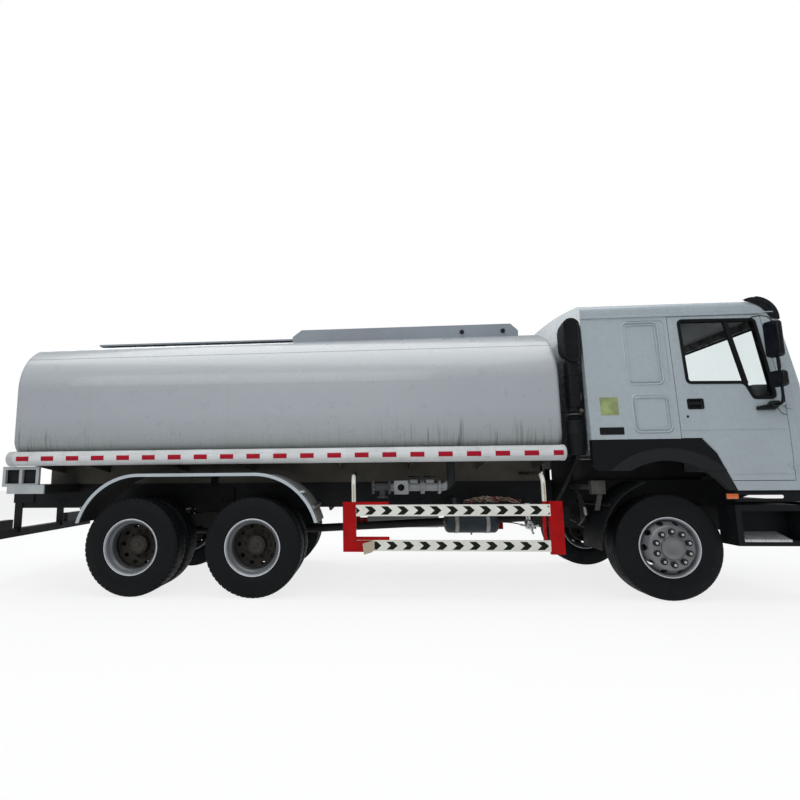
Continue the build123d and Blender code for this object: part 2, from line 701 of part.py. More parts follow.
# ================================================================ rear of the chassis
bar_z = 600
bar_size = 100
bar_half_length = 1200
with BuildPart() as underrun_bar:
    with Locations((rear_end + bar_size / 2, 0, bar_z)):
        Box(bar_size, 2 * bar_half_length, bar_size)
    for side in (-1, 1):
        with Locations((rear_end + bar_size / 2 + 20, side * (rail_y + seat_gap + 8), (bar_z + 1150) / 2)):
            Box(bar_size, 16, 1150 - bar_z)
        with Locations(((rear_end + rail_rear) / 2 + 80, side * (rail_y + seat_gap + 8), 1060)):
            Box(rail_rear - rear_end + 160, 16, 180)
finish(underrun_bar, "underrun_bar")

platform_rear = rear_end + 429
platform_front = rear_end + 874
platform_top = 1209
platform_depth = 100
platform_y = 1150
rack_rear = rear_end + 350
rack_front = rear_end + 790
rack_top = 1420
rack_tube = 36
with BuildPart() as rear_platform:
    for side in (-1, 1):
        inner = rail_y + seat_gap
        with Locations(((platform_rear + platform_front) / 2, side * (inner + platform_y) / 2,
                        platform_top - platform_depth / 2)):
            Box(platform_front - platform_rear, platform_y - inner, platform_depth)
        with Locations(((platform_rear + platform_front) / 2, side * (inner + platform_y) / 2,
                        platform_top - platform_depth / 2 - 10)):
            Box(platform_front - platform_rear - 12, platform_y - inner - 12, platform_depth, mode=Mode.SUBTRACT)
        with BuildSketch(Plane.XZ.offset(-side * (platform_y - 20))):
            with Locations(((rack_rear + rack_front) / 2, (platform_top - 20 + rack_top) / 2)):
                Rectangle(rack_front - rack_rear, rack_top - platform_top + 20)
            for cell in (-1, 1):
                with Locations(((rack_rear + rack_front) / 2 + cell * (rack_front - rack_rear - rack_tube) / 4,
                                (platform_top - 20 + rack_top) / 2)):
                    Rectangle((rack_front - rack_rear - 3 * rack_tube) / 2, rack_top - platform_top + 20 - 2 * rack_tube,
                              mode=Mode.SUBTRACT)
        extrude(amount=side * rack_tube)
finish(rear_platform, "rear_platform")

with BuildPart() as tail_lamps:
    for side in (-1, 1):
        with Locations((rear_end + 50 + 20, side * 780, bar_z + bar_size / 2 + seat_gap + 60)):
            Box(70, 420, 120)
finish(tail_lamps, "tail_lamps")

# ================================================================ pipework and reservoirs
pipe_z = 1150
pipe_y = -820
pipe_x = guard_rear + 316
pipe_length = 900
pipe_radius = 46
pipe_flange = 78
outlet_x = pipe_x + 320
outlet_face_y = pipe_y - 205
outlet_radius = 38
outlet_depth = 110
branch_x = pipe_x + 120
# flanges along the run: (distance from its rear end, thickness)
flanges = ((10, 20), (196, 20), (385, 18), (408, 18), (560, 18), (584, 18), (760, 26))
with BuildPart() as pipework:
    with BuildLine():
        run = FilletPolyline((pipe_x, pipe_y, pipe_z), (pipe_x + pipe_length, pipe_y, pipe_z),
                             (pipe_x + pipe_length, pipe_y, tank_bottom - seat_gap), radius=110)
    with BuildSketch(Plane(origin=run @ 0, z_dir=run % 0)):
        Circle(pipe_radius)
    sweep(path=run)
    for distance, thickness in flanges:
        with Locations(Location((pipe_x + distance, pipe_y, pipe_z), (0, 90, 0))):
            Cylinder(pipe_flange, thickness)
    # branch that hangs down, with its flange
    with Locations((branch_x, pipe_y, pipe_z - 60)):
        Cylinder(36, 120)
    with Locations((branch_x, pipe_y, pipe_z - 112)):
        Cylinder(62, 18)
    # outlet valve: a square body that faces the side of the truck
    with Locations((outlet_x, pipe_y - 85, pipe_z)):
        Box(120, 190, 130)
    with Locations((outlet_x, outlet_face_y + 15, pipe_z)):
        Box(150, 30, 150)
    with Locations(Location((outlet_x, outlet_face_y + outlet_depth / 2, pipe_z), (90, 0, 0))):
        Cylinder(outlet_radius, outlet_depth, mode=Mode.SUBTRACT)
    # hoops of the two valves on top
    for distance in (478, 660):
        with Locations(Location((pipe_x + distance, pipe_y, pipe_z + 58), (90, 0, 0))):
            Cylinder(46, 24)
    with Locations((pipe_x + pipe_length, pipe_y, tank_bottom - 14 - seat_gap)):
        Cylinder(88, 28)
finish(pipework, "pipework")

air_tank_radius = 118
air_tank_x = guard_front - 838
with BuildPart() as air_tanks:
    with Locations(Location((air_tank_x, -700, 745), (0, 90, 0))):
        Cylinder(air_tank_radius, 590)
    fillet(air_tanks.edges().filter_by(GeomType.CIRCLE), 50)
    for x in (air_tank_x - 180, air_tank_x + 180):
        with Locations((x, -(rail_y + seat_gap + 740) / 2, 1000)):
            Box(40, 740 - rail_y - seat_gap, 40)
        with Locations((x, -720, (745 + 1020) / 2)):
            Box(40, 40, 1020 - 745)
finish(air_tanks, "air_tanks")

fuel_tank_x = guard_rear + 756
with BuildPart() as fuel_tank:
    with Locations((fuel_tank_x, 870, 790)):
        Box(1000, 500, 500)
    fillet(fuel_tank.edges().filter_by(Axis.X), 90)
    for x in (fuel_tank_x - 300, fuel_tank_x + 300):
        with Locations((x, (rail_y + seat_gap + 700) / 2, 1000)):
            Box(60, 700 - rail_y - seat_gap, 60)
finish(fuel_tank, "fuel_tank")

exhaust_x = guard_front - 379
with BuildPart() as exhaust:
    with Locations(Location((exhaust_x, 790, 780), (0, 90, 0))):
        Cylinder(140, 640)
    fillet(exhaust.edges().filter_by(GeomType.CIRCLE), 30)
    with Locations(Location((exhaust_x - 320 - 60, 790, 780), (0, 90, 0))):
        Cylinder(45, 160)
    with Locations((exhaust_x, (rail_y + seat_gap + 760) / 2, 985)):
        Box(80, 760 - rail_y - seat_gap, 60)
    with Locations((exhaust_x, 740, 930)):
        Box(80, 40, 110)
finish(exhaust, "exhaust")

# ================================================================ engine air intake
intake_rear = cab_rear - 195
intake_front = cab_rear - 20
intake_outer_y = 1225
intake_inner_y = 1010
intake_top = 3040
comb_pitch = 30
comb_web = 3
comb_columns = 4
comb_rows = 15
with BuildPart() as air_intake:
    middle_x = (intake_rear + intake_front) / 2
    middle_y = -(intake_inner_y + intake_outer_y) / 2
    # hood with an open mouth facing out
    with Locations((middle_x, middle_y, (2490 + intake_top) / 2)):
        Box(intake_front - intake_rear, intake_outer_y - intake_inner_y, intake_top - 2490)
    fillet(air_intake.edges().filter_by(Axis.X).group_by(Axis.Z)[-1], 60)
    with Locations((middle_x, -intake_outer_y, (2540 + intake_top - 50) / 2)):
        Box(intake_front - intake_rear - 40, 160, intake_top - 50 - 2540, mode=Mode.SUBTRACT)
    # honeycomb over the mouth
    with BuildSketch(Plane.XZ.offset(intake_outer_y - 8)):
        with Locations((middle_x, (2540 + intake_top - 50) / 2)):
            Rectangle(intake_front - intake_rear - 30, intake_top - 50 - 2530)
            with HexLocations(comb_pitch / 2, comb_columns, comb_rows):
                RegularPolygon(comb_pitch / 2 - comb_web, 6, major_radius=False, mode=Mode.SUBTRACT)
    extrude(amount=-8)
    # riser, bellows and filter canister
    with Locations((middle_x, middle_y, (1950 + 2490) / 2)):
        Box(110, 150, 2490 - 1950)
    with Locations((middle_x, middle_y, (1850 + 1950) / 2)):
        Cylinder(62, 102)
    for ring in range(4):
        with Locations((middle_x, middle_y, 1862 + 25 * ring)):
            Cylinder(74, 11)
    with Locations((middle_x, middle_y, (1480 + 1850) / 2)):
        Cylinder(85, 1850 - 1480)
    # bracket down to the frame rail
    with BuildSketch(Plane.YZ.offset(middle_x - 20)):
        with BuildLine():
            Polyline((-rail_y - seat_gap, rail_top - 40), (-rail_y - seat_gap, rail_bottom + 60), (-rail_y - 100, rail_bottom + 60),
                     (-intake_outer_y + 40, 1430), (-intake_outer_y + 40, 1490), (-intake_inner_y + 30, 1490), close=True)
        make_face()
    extrude(amount=40)
finish(air_intake, "air_intake")

# ================================================================ wheels


def revolved(points, x, side):
    """Turn a closed outline of (distance out from the centreline, radius) round an axle."""
    with BuildPart() as turned:
        with BuildSketch(Plane(origin=(x, 0, axle_z), x_dir=(0, side, 0), z_dir=(side, 0, 0))):
            with BuildLine():
                Polyline(*points, close=True)
            make_face()
        revolve(axis=Axis((x, 0, axle_z), (0, 1, 0)))
    return turned.part


def tyre_at(x, y, side):
    """One tyre, seated between the lips of its rim."""
    foot = rim_width / 2 - seat_gap
    half = tyre_width / 2
    with BuildPart() as tyre:
        with BuildSketch(Plane(origin=(x, side * y, axle_z), x_dir=(0, side, 0), z_dir=(side, 0, 0))):
            with BuildLine():
                Line((-foot, bead_radius + seat_gap), (foot, bead_radius + seat_gap))
                Line((foot, bead_radius + seat_gap), (foot, lip_radius + 2))
                ThreePointArc((foot, lip_radius + 2), (half, 400), (tread_width / 2 + 18, tyre_radius - 22))
                Line((tread_width / 2 + 18, tyre_radius - 22), (tread_width / 2, tyre_radius))
                Line((tread_width / 2, tyre_radius), (-tread_width / 2, tyre_radius))
                Line((-tread_width / 2, tyre_radius), (-tread_width / 2 - 18, tyre_radius - 22))
                ThreePointArc((-tread_width / 2 - 18, tyre_radius - 22), (-half, 400), (-foot, lip_radius + 2))
                Line((-foot, lip_radius + 2), (-foot, bead_radius + seat_gap))
            make_face()
        revolve(axis=Axis((x, 0, axle_z), (0, 1, 0)))
        # notches leave a row of lugs round each shoulder
        for edge in (-1, 1):
            with BuildSketch(Plane(origin=(x, side * y + edge * (half + 10), axle_z), x_dir=(1, 0, 0), z_dir=(0, edge, 0))):
                with PolarLocations(tyre_radius, lug_count, start_angle=edge * 180 / lug_count):
                    Rectangle(2 * lug_depth, lug_gap)
            extrude(amount=-(half + 10 - lug_inner), mode=Mode.SUBTRACT)
    return tyre.part


def rim_outline(y):
    """Rim section about a wheel plane y: two lips and a plain barrel."""
    half = rim_width / 2
    edge = half + lip_thickness
    inner = bead_radius - rim_thickness
    return [(y - edge, inner), (y + edge, inner), (y + edge, lip_radius), (y + half, lip_radius),
            (y + half, bead_radius), (y - half, bead_radius), (y - half, lip_radius), (y - edge, lip_radius)]


rim_inner = bead_radius - rim_thickness
hub_radius = 105
front_disc_out = 181      # how far the steered wheel's disc stands out of its tyre's middle
front_rear_out = 60       # where that disc leaves the rim
front_flat_radius = 197   # where its flat face turns back towards the rim
front_hub_end = 192
hub_bore_end = 172
for side in (-1, 1):
    name = side_names[side]
    y = front_wheel_y
    with BuildPart() as tyre_front:
        add(tyre_at(front_axle_x, y, side))
    finish(tyre_front, f"tyre_front_{name}")
    t = disc_thickness
    disc = [(y + front_rear_out - t, rim_inner + 2), (y + front_disc_out - t, front_flat_radius - 8),
            (y + front_disc_out - t, 90), (y + front_disc_out, 90), (y + front_disc_out, front_flat_radius),
            (y + front_rear_out, rim_inner + 2)]
    bore = spindle_radius + running_gap
    hub = [(y - 2, bore), (y + hub_bore_end, bore), (y + hub_bore_end, 1), (y + front_hub_end, 1),
           (y + front_hub_end, 106), (y + front_disc_out - 2, 112), (y + 34, hub_radius), (y + 34, drum_radius),
           (y - 120, drum_radius), (y - 120, drum_radius - drum_wall), (y + 20, drum_radius - drum_wall),
           (y + 20, 80), (y - 2, 80)]
    with BuildPart() as wheel_front:
        add(revolved(rim_outline(y), front_axle_x, side))
        add(revolved(disc, front_axle_x, side))
        add(revolved(hub, front_axle_x, side))
        face = Plane(origin=(front_axle_x, side * (y + front_disc_out), axle_z), x_dir=(1, 0, 0), z_dir=(0, side, 0))
        with BuildSketch(face):
            with PolarLocations(stud_circle, stud_count, start_angle=180 / stud_count):
                RegularPolygon(stud_radius, 6)
        extrude(amount=26)
        with BuildSketch(face):
            with PolarLocations((front_flat_radius + rim_inner) / 2 + 4, hand_hole_count):
                Ellipse(16, 26)
        extrude(amount=-(front_disc_out - front_rear_out + t + 10), mode=Mode.SUBTRACT)
    finish(wheel_front, f"wheel_front_{name}")

    # knuckle: fork round the beam's boss, kingpin, and the wheel's spindle
    with BuildPart() as knuckle:
        for end in (-1, 1):
            with Locations((front_axle_x, side * kingpin_y, axle_z + end * (front_boss_height / 2 + 2 + 24))):
                Cylinder(44, 48)
            with Locations((front_axle_x, side * (kingpin_y + 37), axle_z + end * (front_boss_height / 2 + 2 + 24))):
                Box(88, 74, 48)
        with Locations((front_axle_x, side * kingpin_y, axle_z)):
            Cylinder(kingpin_radius, front_boss_height + 60)
        with Locations((front_axle_x, side * (kingpin_y + 65), axle_z)):
            Box(110, 18, front_boss_height + 100)
        spindle_in, spindle_out = kingpin_y + 70, front_wheel_y + 165
        with Locations(Location((front_axle_x, side * (spindle_in + spindle_out) / 2, axle_z), (90, 0, 0))):
            Cylinder(spindle_radius, spindle_out - spindle_in)
    finish(knuckle, f"knuckle_{name}")

    # driven pairs
    for axle, x in (("middle", middle_axle_x), ("rear", rear_axle_x)):
        with BuildPart() as tyres:
            add(tyre_at(x, outer_wheel_y, side))
            add(tyre_at(x, inner_wheel_y, side))
        finish(tyres, f"tyres_{axle}_{name}")
        face_y = (outer_wheel_y + inner_wheel_y) / 2
        outer_disc = [(face_y, 95), (face_y + t, 95), (face_y + t, 176), (outer_wheel_y - 70, rim_inner + 2),
                      (outer_wheel_y - 70 - t, rim_inner + 2), (face_y, 182)]
        inner_disc = [(face_y, 95), (face_y - t, 95), (face_y - t, 176), (inner_wheel_y + 70, rim_inner + 2),
                      (inner_wheel_y + 70 + t, rim_inner + 2), (face_y, 182)]
        bore = rear_spindle_radius + running_gap
        hub = [(face_y - 165, bore), (rear_spindle_end + 8, bore), (rear_spindle_end + 8, 1), (face_y + 150, 1),
               (face_y + 150, 96), (face_y + t - 2, 112), (face_y - 20, 112), (face_y - 20, drum_radius),
               (axle_flange_y + 6, drum_radius), (axle_flange_y + 6, drum_radius - drum_wall),
               (face_y - 36, drum_radius - drum_wall), (face_y - 36, 84), (face_y - 165, 84)]
        with BuildPart() as wheels:
            for outline in (rim_outline(outer_wheel_y), rim_outline(inner_wheel_y), outer_disc, inner_disc, hub):
                add(revolved(outline, x, side))
            face = Plane(origin=(x, side * (face_y + t), axle_z), x_dir=(1, 0, 0), z_dir=(0, side, 0))
            with BuildSketch(face):
                with PolarLocations(stud_circle, stud_count):
                    RegularPolygon(stud_radius, 6)
            extrude(amount=34)
            with BuildSketch(face.offset(90)):
                with PolarLocations(208, hand_hole_count, start_angle=18):
                    Ellipse(15, 26)
            extrude(amount=-260, mode=Mode.SUBTRACT)
        finish(wheels, f"wheels_{axle}_{name}")

# ================================================================ cab shell


def cab_wall_section(side):
    """Section of a side wall or door in the YZ plane."""
    with BuildLine() as outline:
        Polyline((side * cab_half_width, cab_sill_bottom), (side * cab_half_width, cab_waist),
                 (side * cab_half_width_top, cab_gutter), (side * (cab_half_width_top - cab_wall), cab_gutter),
                 (side * (cab_half_width - cab_wall), cab_waist),
                 (side * (cab_half_width - cab_wall), cab_sill_bottom), close=True)
    return outline.line


arch_front_bottom = cab_sill_bottom


def hinge_half(side, z, way, reach):
    """Half a door hinge at height z: a barrel and a leaf that lies on the skin."""
    leaf_outer = door_hinge_y - 4
    leaf_inner = cab_skin_y(z, 6)
    with BuildPart() as half:
        with Locations((door_hinge_x, side * door_hinge_y, z)):
            Cylinder(door_barrel_radius, door_barrel_length)
        with Locations((door_hinge_x + way * reach / 2, side * (leaf_outer + leaf_inner) / 2, z)):
            Box(reach, leaf_outer - leaf_inner, door_barrel_length)
    return half.part


# the door's lower rear edge follows the arch panel
arch_corner_high = (front_axle_x + 360, arch_top)
arch_corner_mid = (front_axle_x + 490, 1480)
arch_corner_low = (front_axle_x + 652, cab_sill_bottom)
pillar_x = cab_front - front_return


def door_outline(gap):
    """The door's edge in the XZ plane, grown by a gap."""
    with BuildLine() as outline:
        Polyline((door_rear - gap, door_top + gap), (door_rear - gap, arch_top + shut_gap - gap),
                 (arch_corner_high[0] + shut_gap, arch_top + shut_gap - gap),
                 (arch_corner_mid[0] + shut_gap, arch_corner_mid[1] + shut_gap - gap),
                 (front_axle_x + 610 + shut_gap, door_bottom - gap), (door_front + gap, door_bottom - gap),
                 (door_front + gap, pillar_foot_z), (door_front_top + gap, door_top + gap), close=True)
    return outline.line


# Two shallow pressings in each rear quarter: (rear, front, low, high).
pressings = ((front_axle_x - 276, front_axle_x + 127, 2200, cab_gutter - 55),
             (front_axle_x - 287, front_axle_x + 98, 1690, 2060))
pressing_depth = 7
with BuildPart() as pressed_areas:
    for side in (-1, 1):
        with BuildSketch(Plane.YZ.offset(cab_rear)):
            with BuildLine():
                Polyline(*[(side * cab_skin_y(z, depth), z) for z, depth in
                           ((1650, pressing_depth), (cab_waist, pressing_depth), (cab_gutter - 20, pressing_depth),
                            (cab_gutter - 20, -20), (cab_waist, -20), (1650, -20))], close=True)
            make_face()
        extrude(amount=1000)
    with BuildSketch(Plane.XZ.offset(-1500)):
        for rear, front, low, high in pressings:
            with Locations(((rear + front) / 2, (low + high) / 2)):
                RectangleRounded(front - rear, high - low, 50)
    extrude(amount=3000, mode=Mode.INTERSECT)

gutter_z = cab_gutter - 9
gutter_front = screen_head_x - 130
gutter_depth = 14
with BuildPart() as cab_sides:
    for side in (-1, 1):
        with BuildSketch(Plane.YZ.offset(cab_rear)):
            with BuildLine():
                add(cab_wall_section(side))
            make_face()
        extrude(amount=pillar_x - 1 - cab_rear)
    # front edge leans back beside the windscreen
    with BuildSketch(Plane.XZ.offset(-1500)):
        with BuildLine():
            Polyline((pillar_x + 10, screen_foot_z + 20), (pillar_x - 1, screen_foot_z),
                     (pillar_x - 1 - cab_front + screen_head_x, cab_gutter), (pillar_x - 1 - cab_front + screen_head_x, cab_gutter + 140),
                     (pillar_x + 10, cab_gutter + 140), close=True)
        make_face()
    extrude(amount=3000, mode=Mode.SUBTRACT)
    with BuildSketch(Plane.XZ.offset(-1500)):
        with BuildLine():
            add(door_outline(shut_gap))
        make_face()
    extrude(amount=3000, mode=Mode.SUBTRACT)
    # the lower rear belongs to the arch panel
    with BuildSketch(Plane.XZ.offset(-1500)):
        with BuildLine():
            Polyline((cab_rear - 10, arch_top + 1), (arch_corner_high[0] + 1, arch_top + 1),
                     (arch_corner_mid[0] + 1, arch_corner_mid[1]), (arch_corner_low[0] + 1, cab_sill_bottom - 1),
                     (cab_rear - 10, cab_sill_bottom - 1), close=True)
        make_face()
    extrude(amount=3000, mode=Mode.SUBTRACT)
    add(pressed_areas.part, mode=Mode.SUBTRACT)
    # rain gutter over the door
    for side in (-1, 1):
        with Locations(((cab_rear + gutter_front) / 2, side * (cab_skin_y(gutter_z) + gutter_depth / 2 - 2), gutter_z)):
            Box(gutter_front - cab_rear, gutter_depth, 12)
    for side in (-1, 1):
        for z in door_hinges_z:
            add(hinge_half(side, z - door_barrel_length / 2 - 0.5, 1, 50))
            with Locations((door_hinge_x, side * door_hinge_y, z)):
                Cylinder(door_pin_radius, 2 * door_barrel_length)
finish(cab_sides, "cab_sides")

with BuildPart() as arch_panels:
    for side in (-1, 1):
        with BuildSketch(Plane.XZ.offset(-side * cab_half_width)):
            with BuildLine():
                Polyline((cab_rear, arch_top), arch_corner_high, arch_corner_mid, arch_corner_low,
                         (arch_x + 570, cab_sill_bottom), (arch_x - 350, arch_rear_bottom), (cab_rear + 60, arch_rear_bottom),
                         (cab_rear, arch_rear_bottom + 60), close=True)
            make_face()
            with Locations((arch_x, arch_z)):
                Circle(arch_radius, mode=Mode.SUBTRACT)
        extrude(amount=side * (cab_wall + 10))
        with BuildSketch(Plane.XZ.offset(-side * cab_half_width)):
            with Locations((arch_x, arch_z)):
                Circle(arch_radius + arch_band)
                Circle(arch_radius, mode=Mode.SUBTRACT)
            with Locations((arch_x, arch_rear_bottom - 1000)):
                Rectangle(3000, 2000, mode=Mode.SUBTRACT)
        extrude(amount=-side * 10)
finish(arch_panels, "arch_panels")

with BuildPart() as cab_back:
    with BuildSketch(Plane.YZ.offset(cab_rear)):
        with BuildLine():
            Polyline((-cab_skin_y(cab_floor_z, cab_wall + 11), cab_floor_z + cab_floor_thickness + seat_gap),
                     (-cab_skin_y(arch_top, cab_wall + 11), arch_top),
                     (-cab_skin_y(arch_top + 2, cab_wall + seat_gap), arch_top + 2),
                     (-cab_skin_y(cab_waist, cab_wall + seat_gap), cab_waist),
                     (-cab_skin_y(cab_gutter, cab_wall + seat_gap), cab_gutter - seat_gap),
                     (cab_skin_y(cab_gutter, cab_wall + seat_gap), cab_gutter - seat_gap),
                     (cab_skin_y(cab_waist, cab_wall + seat_gap), cab_waist),
                     (cab_skin_y(arch_top + 2, cab_wall + seat_gap), arch_top + 2),
                     (cab_skin_y(arch_top, cab_wall + 11), arch_top),
                     (cab_skin_y(cab_floor_z, cab_wall + 11), cab_floor_z + cab_floor_thickness + seat_gap), close=True)
        make_face()
    extrude(amount=cab_wall)
finish(cab_back, "cab_back")

# Floor: a flat deck over the engine and wheels, with a footwell each side in front.
floor_half_width = cab_half_width - cab_wall - 11
toe_half_width = cab_half_width_top - cab_wall - seat_gap
toe_front = cab_front - cab_wall - seat_gap
toe_rear = pillar_x - 22
tunnel_front = cab_front - 350
tunnel_front_bottom = rail_top + 26
tunnel_wall = 30
deck_top = cab_floor_z + cab_floor_thickness
with BuildPart() as cab_floor:
    # deck and the tunnel's front wall
    with BuildSketch(Plane.XZ.offset(-tunnel_half_width)):
        with BuildLine():
            Polyline((cab_rear, cab_floor_z), (tunnel_front - cab_floor_thickness, cab_floor_z),
                     (tunnel_front - cab_floor_thickness, tunnel_front_bottom), (tunnel_front, tunnel_front_bottom),
                     (tunnel_front, deck_top), (cab_rear, deck_top), close=True)
        make_face()
    extrude(amount=2 * tunnel_half_width)
    for side in (-1, 1):
        # the deck steps down into the footwell
        with BuildSketch(Plane.XZ.offset(-side * floor_half_width)):
            with BuildLine():
                Polyline((cab_rear, cab_floor_z), (footwell_rear - cab_floor_thickness, cab_floor_z),
                         (footwell_rear - cab_floor_thickness, footwell_z), (toe_rear, footwell_z),
                         (toe_rear, footwell_z + cab_floor_thickness),
                         (footwell_rear, footwell_z + cab_floor_thickness), (footwell_rear, deck_top),
                         (cab_rear, deck_top), close=True)
            make_face()
        extrude(amount=side * (floor_half_width - tunnel_half_width + tunnel_wall))
        # tunnel side wall
        with BuildSketch(Plane.XZ.offset(-side * tunnel_half_width)):
            with Locations(((footwell_rear - cab_floor_thickness + tunnel_front) / 2, (footwell_z + deck_top) / 2)):
                Rectangle(tunnel_front - footwell_rear + cab_floor_thickness, deck_top - footwell_z)
        extrude(amount=side * tunnel_wall)
    # toe board between the corner returns of the front panel
    with Locations(((toe_rear - 40 + toe_front) / 2, 0, footwell_z + cab_floor_thickness / 2)):
        Box(toe_front - toe_rear + 40, 2 * toe_half_width, cab_floor_thickness)
    with Locations(((tunnel_front - 20 + toe_rear) / 2, 0, footwell_z + cab_floor_thickness / 2)):
        Box(toe_rear - tunnel_front + 20, 2 * tunnel_half_width, cab_floor_thickness)
finish(cab_floor, "cab_floor")

# Front: lower panel, pillars and header in one frame, wrapping round both corners.
screen_lean = degrees(atan2(cab_front - screen_head_x, cab_gutter - screen_foot_z))
screen_half_width = 1085
grille_low = 1230
grille_high = 1780
grille_half_width = 880
grille_depth = 30
grille_bars = 7
screen_low = screen_foot_z + 85
screen_high = cab_gutter - 80
screen_plane = Plane(origin=(screen_x((screen_low + screen_high) / 2), 0, (screen_low + screen_high) / 2), x_dir=(0, 1, 0),
                     z_dir=(cos(radians(screen_lean)), 0, sin(radians(screen_lean))))


def front_profile(inset):
    """Side view of the front frame; the inset is from its outer face."""
    rear = pillar_x if inset == 0 else pillar_x - 20
    with BuildLine() as outline:
        Polyline((rear, cab_sill_bottom - (1 if inset else 0)), (cab_front - inset, cab_sill_bottom - (1 if inset else 0)),
                 (cab_front - inset, screen_foot_z), (screen_head_x - inset, cab_gutter),
                 (rear - cab_front + screen_head_x, cab_gutter), (rear, screen_foot_z), close=True)
    return outline.line


with BuildPart() as cab_front_shell:
    with BuildSketch(Plane.XZ.offset(-cab_half_width)):
        with BuildLine():
            add(front_profile(0))
        make_face()
    extrude(amount=2 * cab_half_width)
    fillet(cab_front_shell.edges().filter_by(Axis.Z).group_by(Axis.X)[-1], corner_radius)
    with BuildSketch(Plane.YZ.offset(pillar_x - 500)):
        with BuildLine():
            Polyline((-cab_half_width, cab_sill_bottom - 5), (-cab_half_width, cab_waist), (-cab_half_width_top, cab_gutter),
                     (cab_half_width_top, cab_gutter), (cab_half_width, cab_waist), (cab_half_width, cab_sill_bottom - 5),
                     close=True)
        make_face()
    extrude(amount=1200, mode=Mode.INTERSECT)
    with BuildSketch(Plane.XZ.offset(-(cab_half_width_top - cab_wall))):
        with BuildLine():
            add(front_profile(cab_wall))
        make_face()
    extrude(amount=2 * (cab_half_width_top - cab_wall), mode=Mode.SUBTRACT)
    with BuildSketch(screen_plane):
        RectangleRounded(2 * screen_half_width, (screen_high - screen_low) / cos(radians(screen_lean)), 90)
    extrude(amount=200, both=True, mode=Mode.SUBTRACT)
    # lugs that turn on the chassis's stub pins
    for side in (-1, 1):
        with BuildSketch(Plane.XZ.offset(-side * (rail_y + 22))):
            with BuildLine():
                Polyline((hinge_x - hinge_lug_radius, hinge_z), (hinge_x - hinge_lug_radius, cab_sill_bottom + 60),
                         (hinge_x + 30, cab_sill_bottom + 60), (hinge_x + hinge_lug_radius, hinge_z), close=True)
            make_face()
            with Locations((hinge_x, hinge_z)):
                Circle(hinge_lug_radius)
                Circle(hinge_pin_radius + running_gap, mode=Mode.SUBTRACT)
        extrude(amount=-side * 34)
    # recess for the grille
    with Locations((cab_front, 0, (grille_low + grille_high) / 2)):
        Box(2 * grille_depth, 2 * grille_half_width, grille_high - grille_low, mode=Mode.SUBTRACT)
finish(cab_front_shell, "cab_front")

with BuildPart() as grille:
    with Locations((cab_front - grille_depth + 5 + seat_gap, 0, (grille_low + grille_high) / 2)):
        Box(10, 2 * (grille_half_width - seat_gap), grille_high - grille_low - 2 * seat_gap)
    bar_pitch = (grille_high - grille_low) / grille_bars
    for bar in range(grille_bars):
        z = grille_low + (bar + 0.5) * bar_pitch
        with BuildSketch(Plane.XZ.offset(-(grille_half_width - 12))):
            with BuildLine():
                Polyline((cab_front - grille_depth + 5, z - bar_pitch * 0.36), (cab_front - 3, z - bar_pitch * 0.1),
                         (cab_front - 3, z + bar_pitch * 0.2), (cab_front - grille_depth + 5, z + bar_pitch * 0.3),
                         close=True)
            make_face()
        extrude(amount=2 * (grille_half_width - 12))
    for side in (-1, 1):
        with Locations((cab_front - grille_depth / 2 + 2, side * (grille_half_width - 12), (grille_low + grille_high) / 2)):
            Box(grille_depth - 4, 22, grille_high - grille_low - 2 * seat_gap)
finish(grille, "grille")

with BuildPart() as windscreen:
    with BuildSketch(screen_plane.offset(-30)):
        RectangleRounded(2 * screen_half_width - 2 * seat_gap,
                         (screen_high - screen_low) / cos(radians(screen_lean)) - 2 * seat_gap, 90)
    extrude(amount=8)
finish(windscreen, "windscreen")

# Roof: a raised cap, hollow below.
roof_wall = 40
roof_brow_z = cab_gutter + 180
roof_shoulder_z = cab_gutter + 130
roof_shoulder_radius = 75
roof_brow_setback = 70


def roof_front_x(z):
    """Front face of the roof cap at height z, below its brow."""
    return screen_head_x - roof_brow_setback * (z - cab_gutter) / (roof_brow_z - cab_gutter)


with BuildPart() as cab_roof:
    with BuildSketch(Plane.YZ.offset(cab_rear)) as roof_section:
        with BuildLine():
            Polyline((-cab_half_width_top, cab_gutter + seat_gap), (-cab_half_width_top, roof_shoulder_z))
            ThreePointArc((-cab_half_width_top, roof_shoulder_z), (0, cab_roof_top), (cab_half_width_top, roof_shoulder_z))
            Polyline((cab_half_width_top, roof_shoulder_z), (cab_half_width_top, cab_gutter + seat_gap),
                     (-cab_half_width_top, cab_gutter + seat_gap))
        make_face()
        fillet([v for v in roof_section.vertices() if abs(v.Y - roof_shoulder_z) < 1], roof_shoulder_radius)
    extrude(amount=screen_head_x - cab_rear)
    with BuildSketch(Plane.XZ.offset(-1500)):
        with BuildLine():
            Polyline((screen_head_x, cab_gutter), (roof_front_x(roof_brow_z), roof_brow_z), (screen_head_x - 250, cab_roof_top + 110),
                     (screen_head_x + 20, cab_roof_top + 110), (screen_head_x + 20, cab_gutter), close=True)
        make_face()
    extrude(amount=3000, mode=Mode.SUBTRACT)
    hollow_top = cab_gutter + 120 - roof_wall
    with Locations(((cab_rear + screen_head_x) / 2 - 50, 0, (cab_gutter + hollow_top) / 2)):
        Box(screen_head_x - cab_rear - 100 - 2 * roof_wall, 2 * (cab_half_width_top - cab_wall), hollow_top - cab_gutter,
            mode=Mode.SUBTRACT)
finish(cab_roof, "cab_roof")

visor_plate = 8
visor_half_width = 1060
visor_tip = (screen_head_x - 237, cab_gutter + 167)
visor_crown = (screen_head_x - 88, cab_gutter + 213)
visor_lip = (screen_head_x + 130, cab_gutter - 49)
visor_sheet_rear = screen_head_x - 52


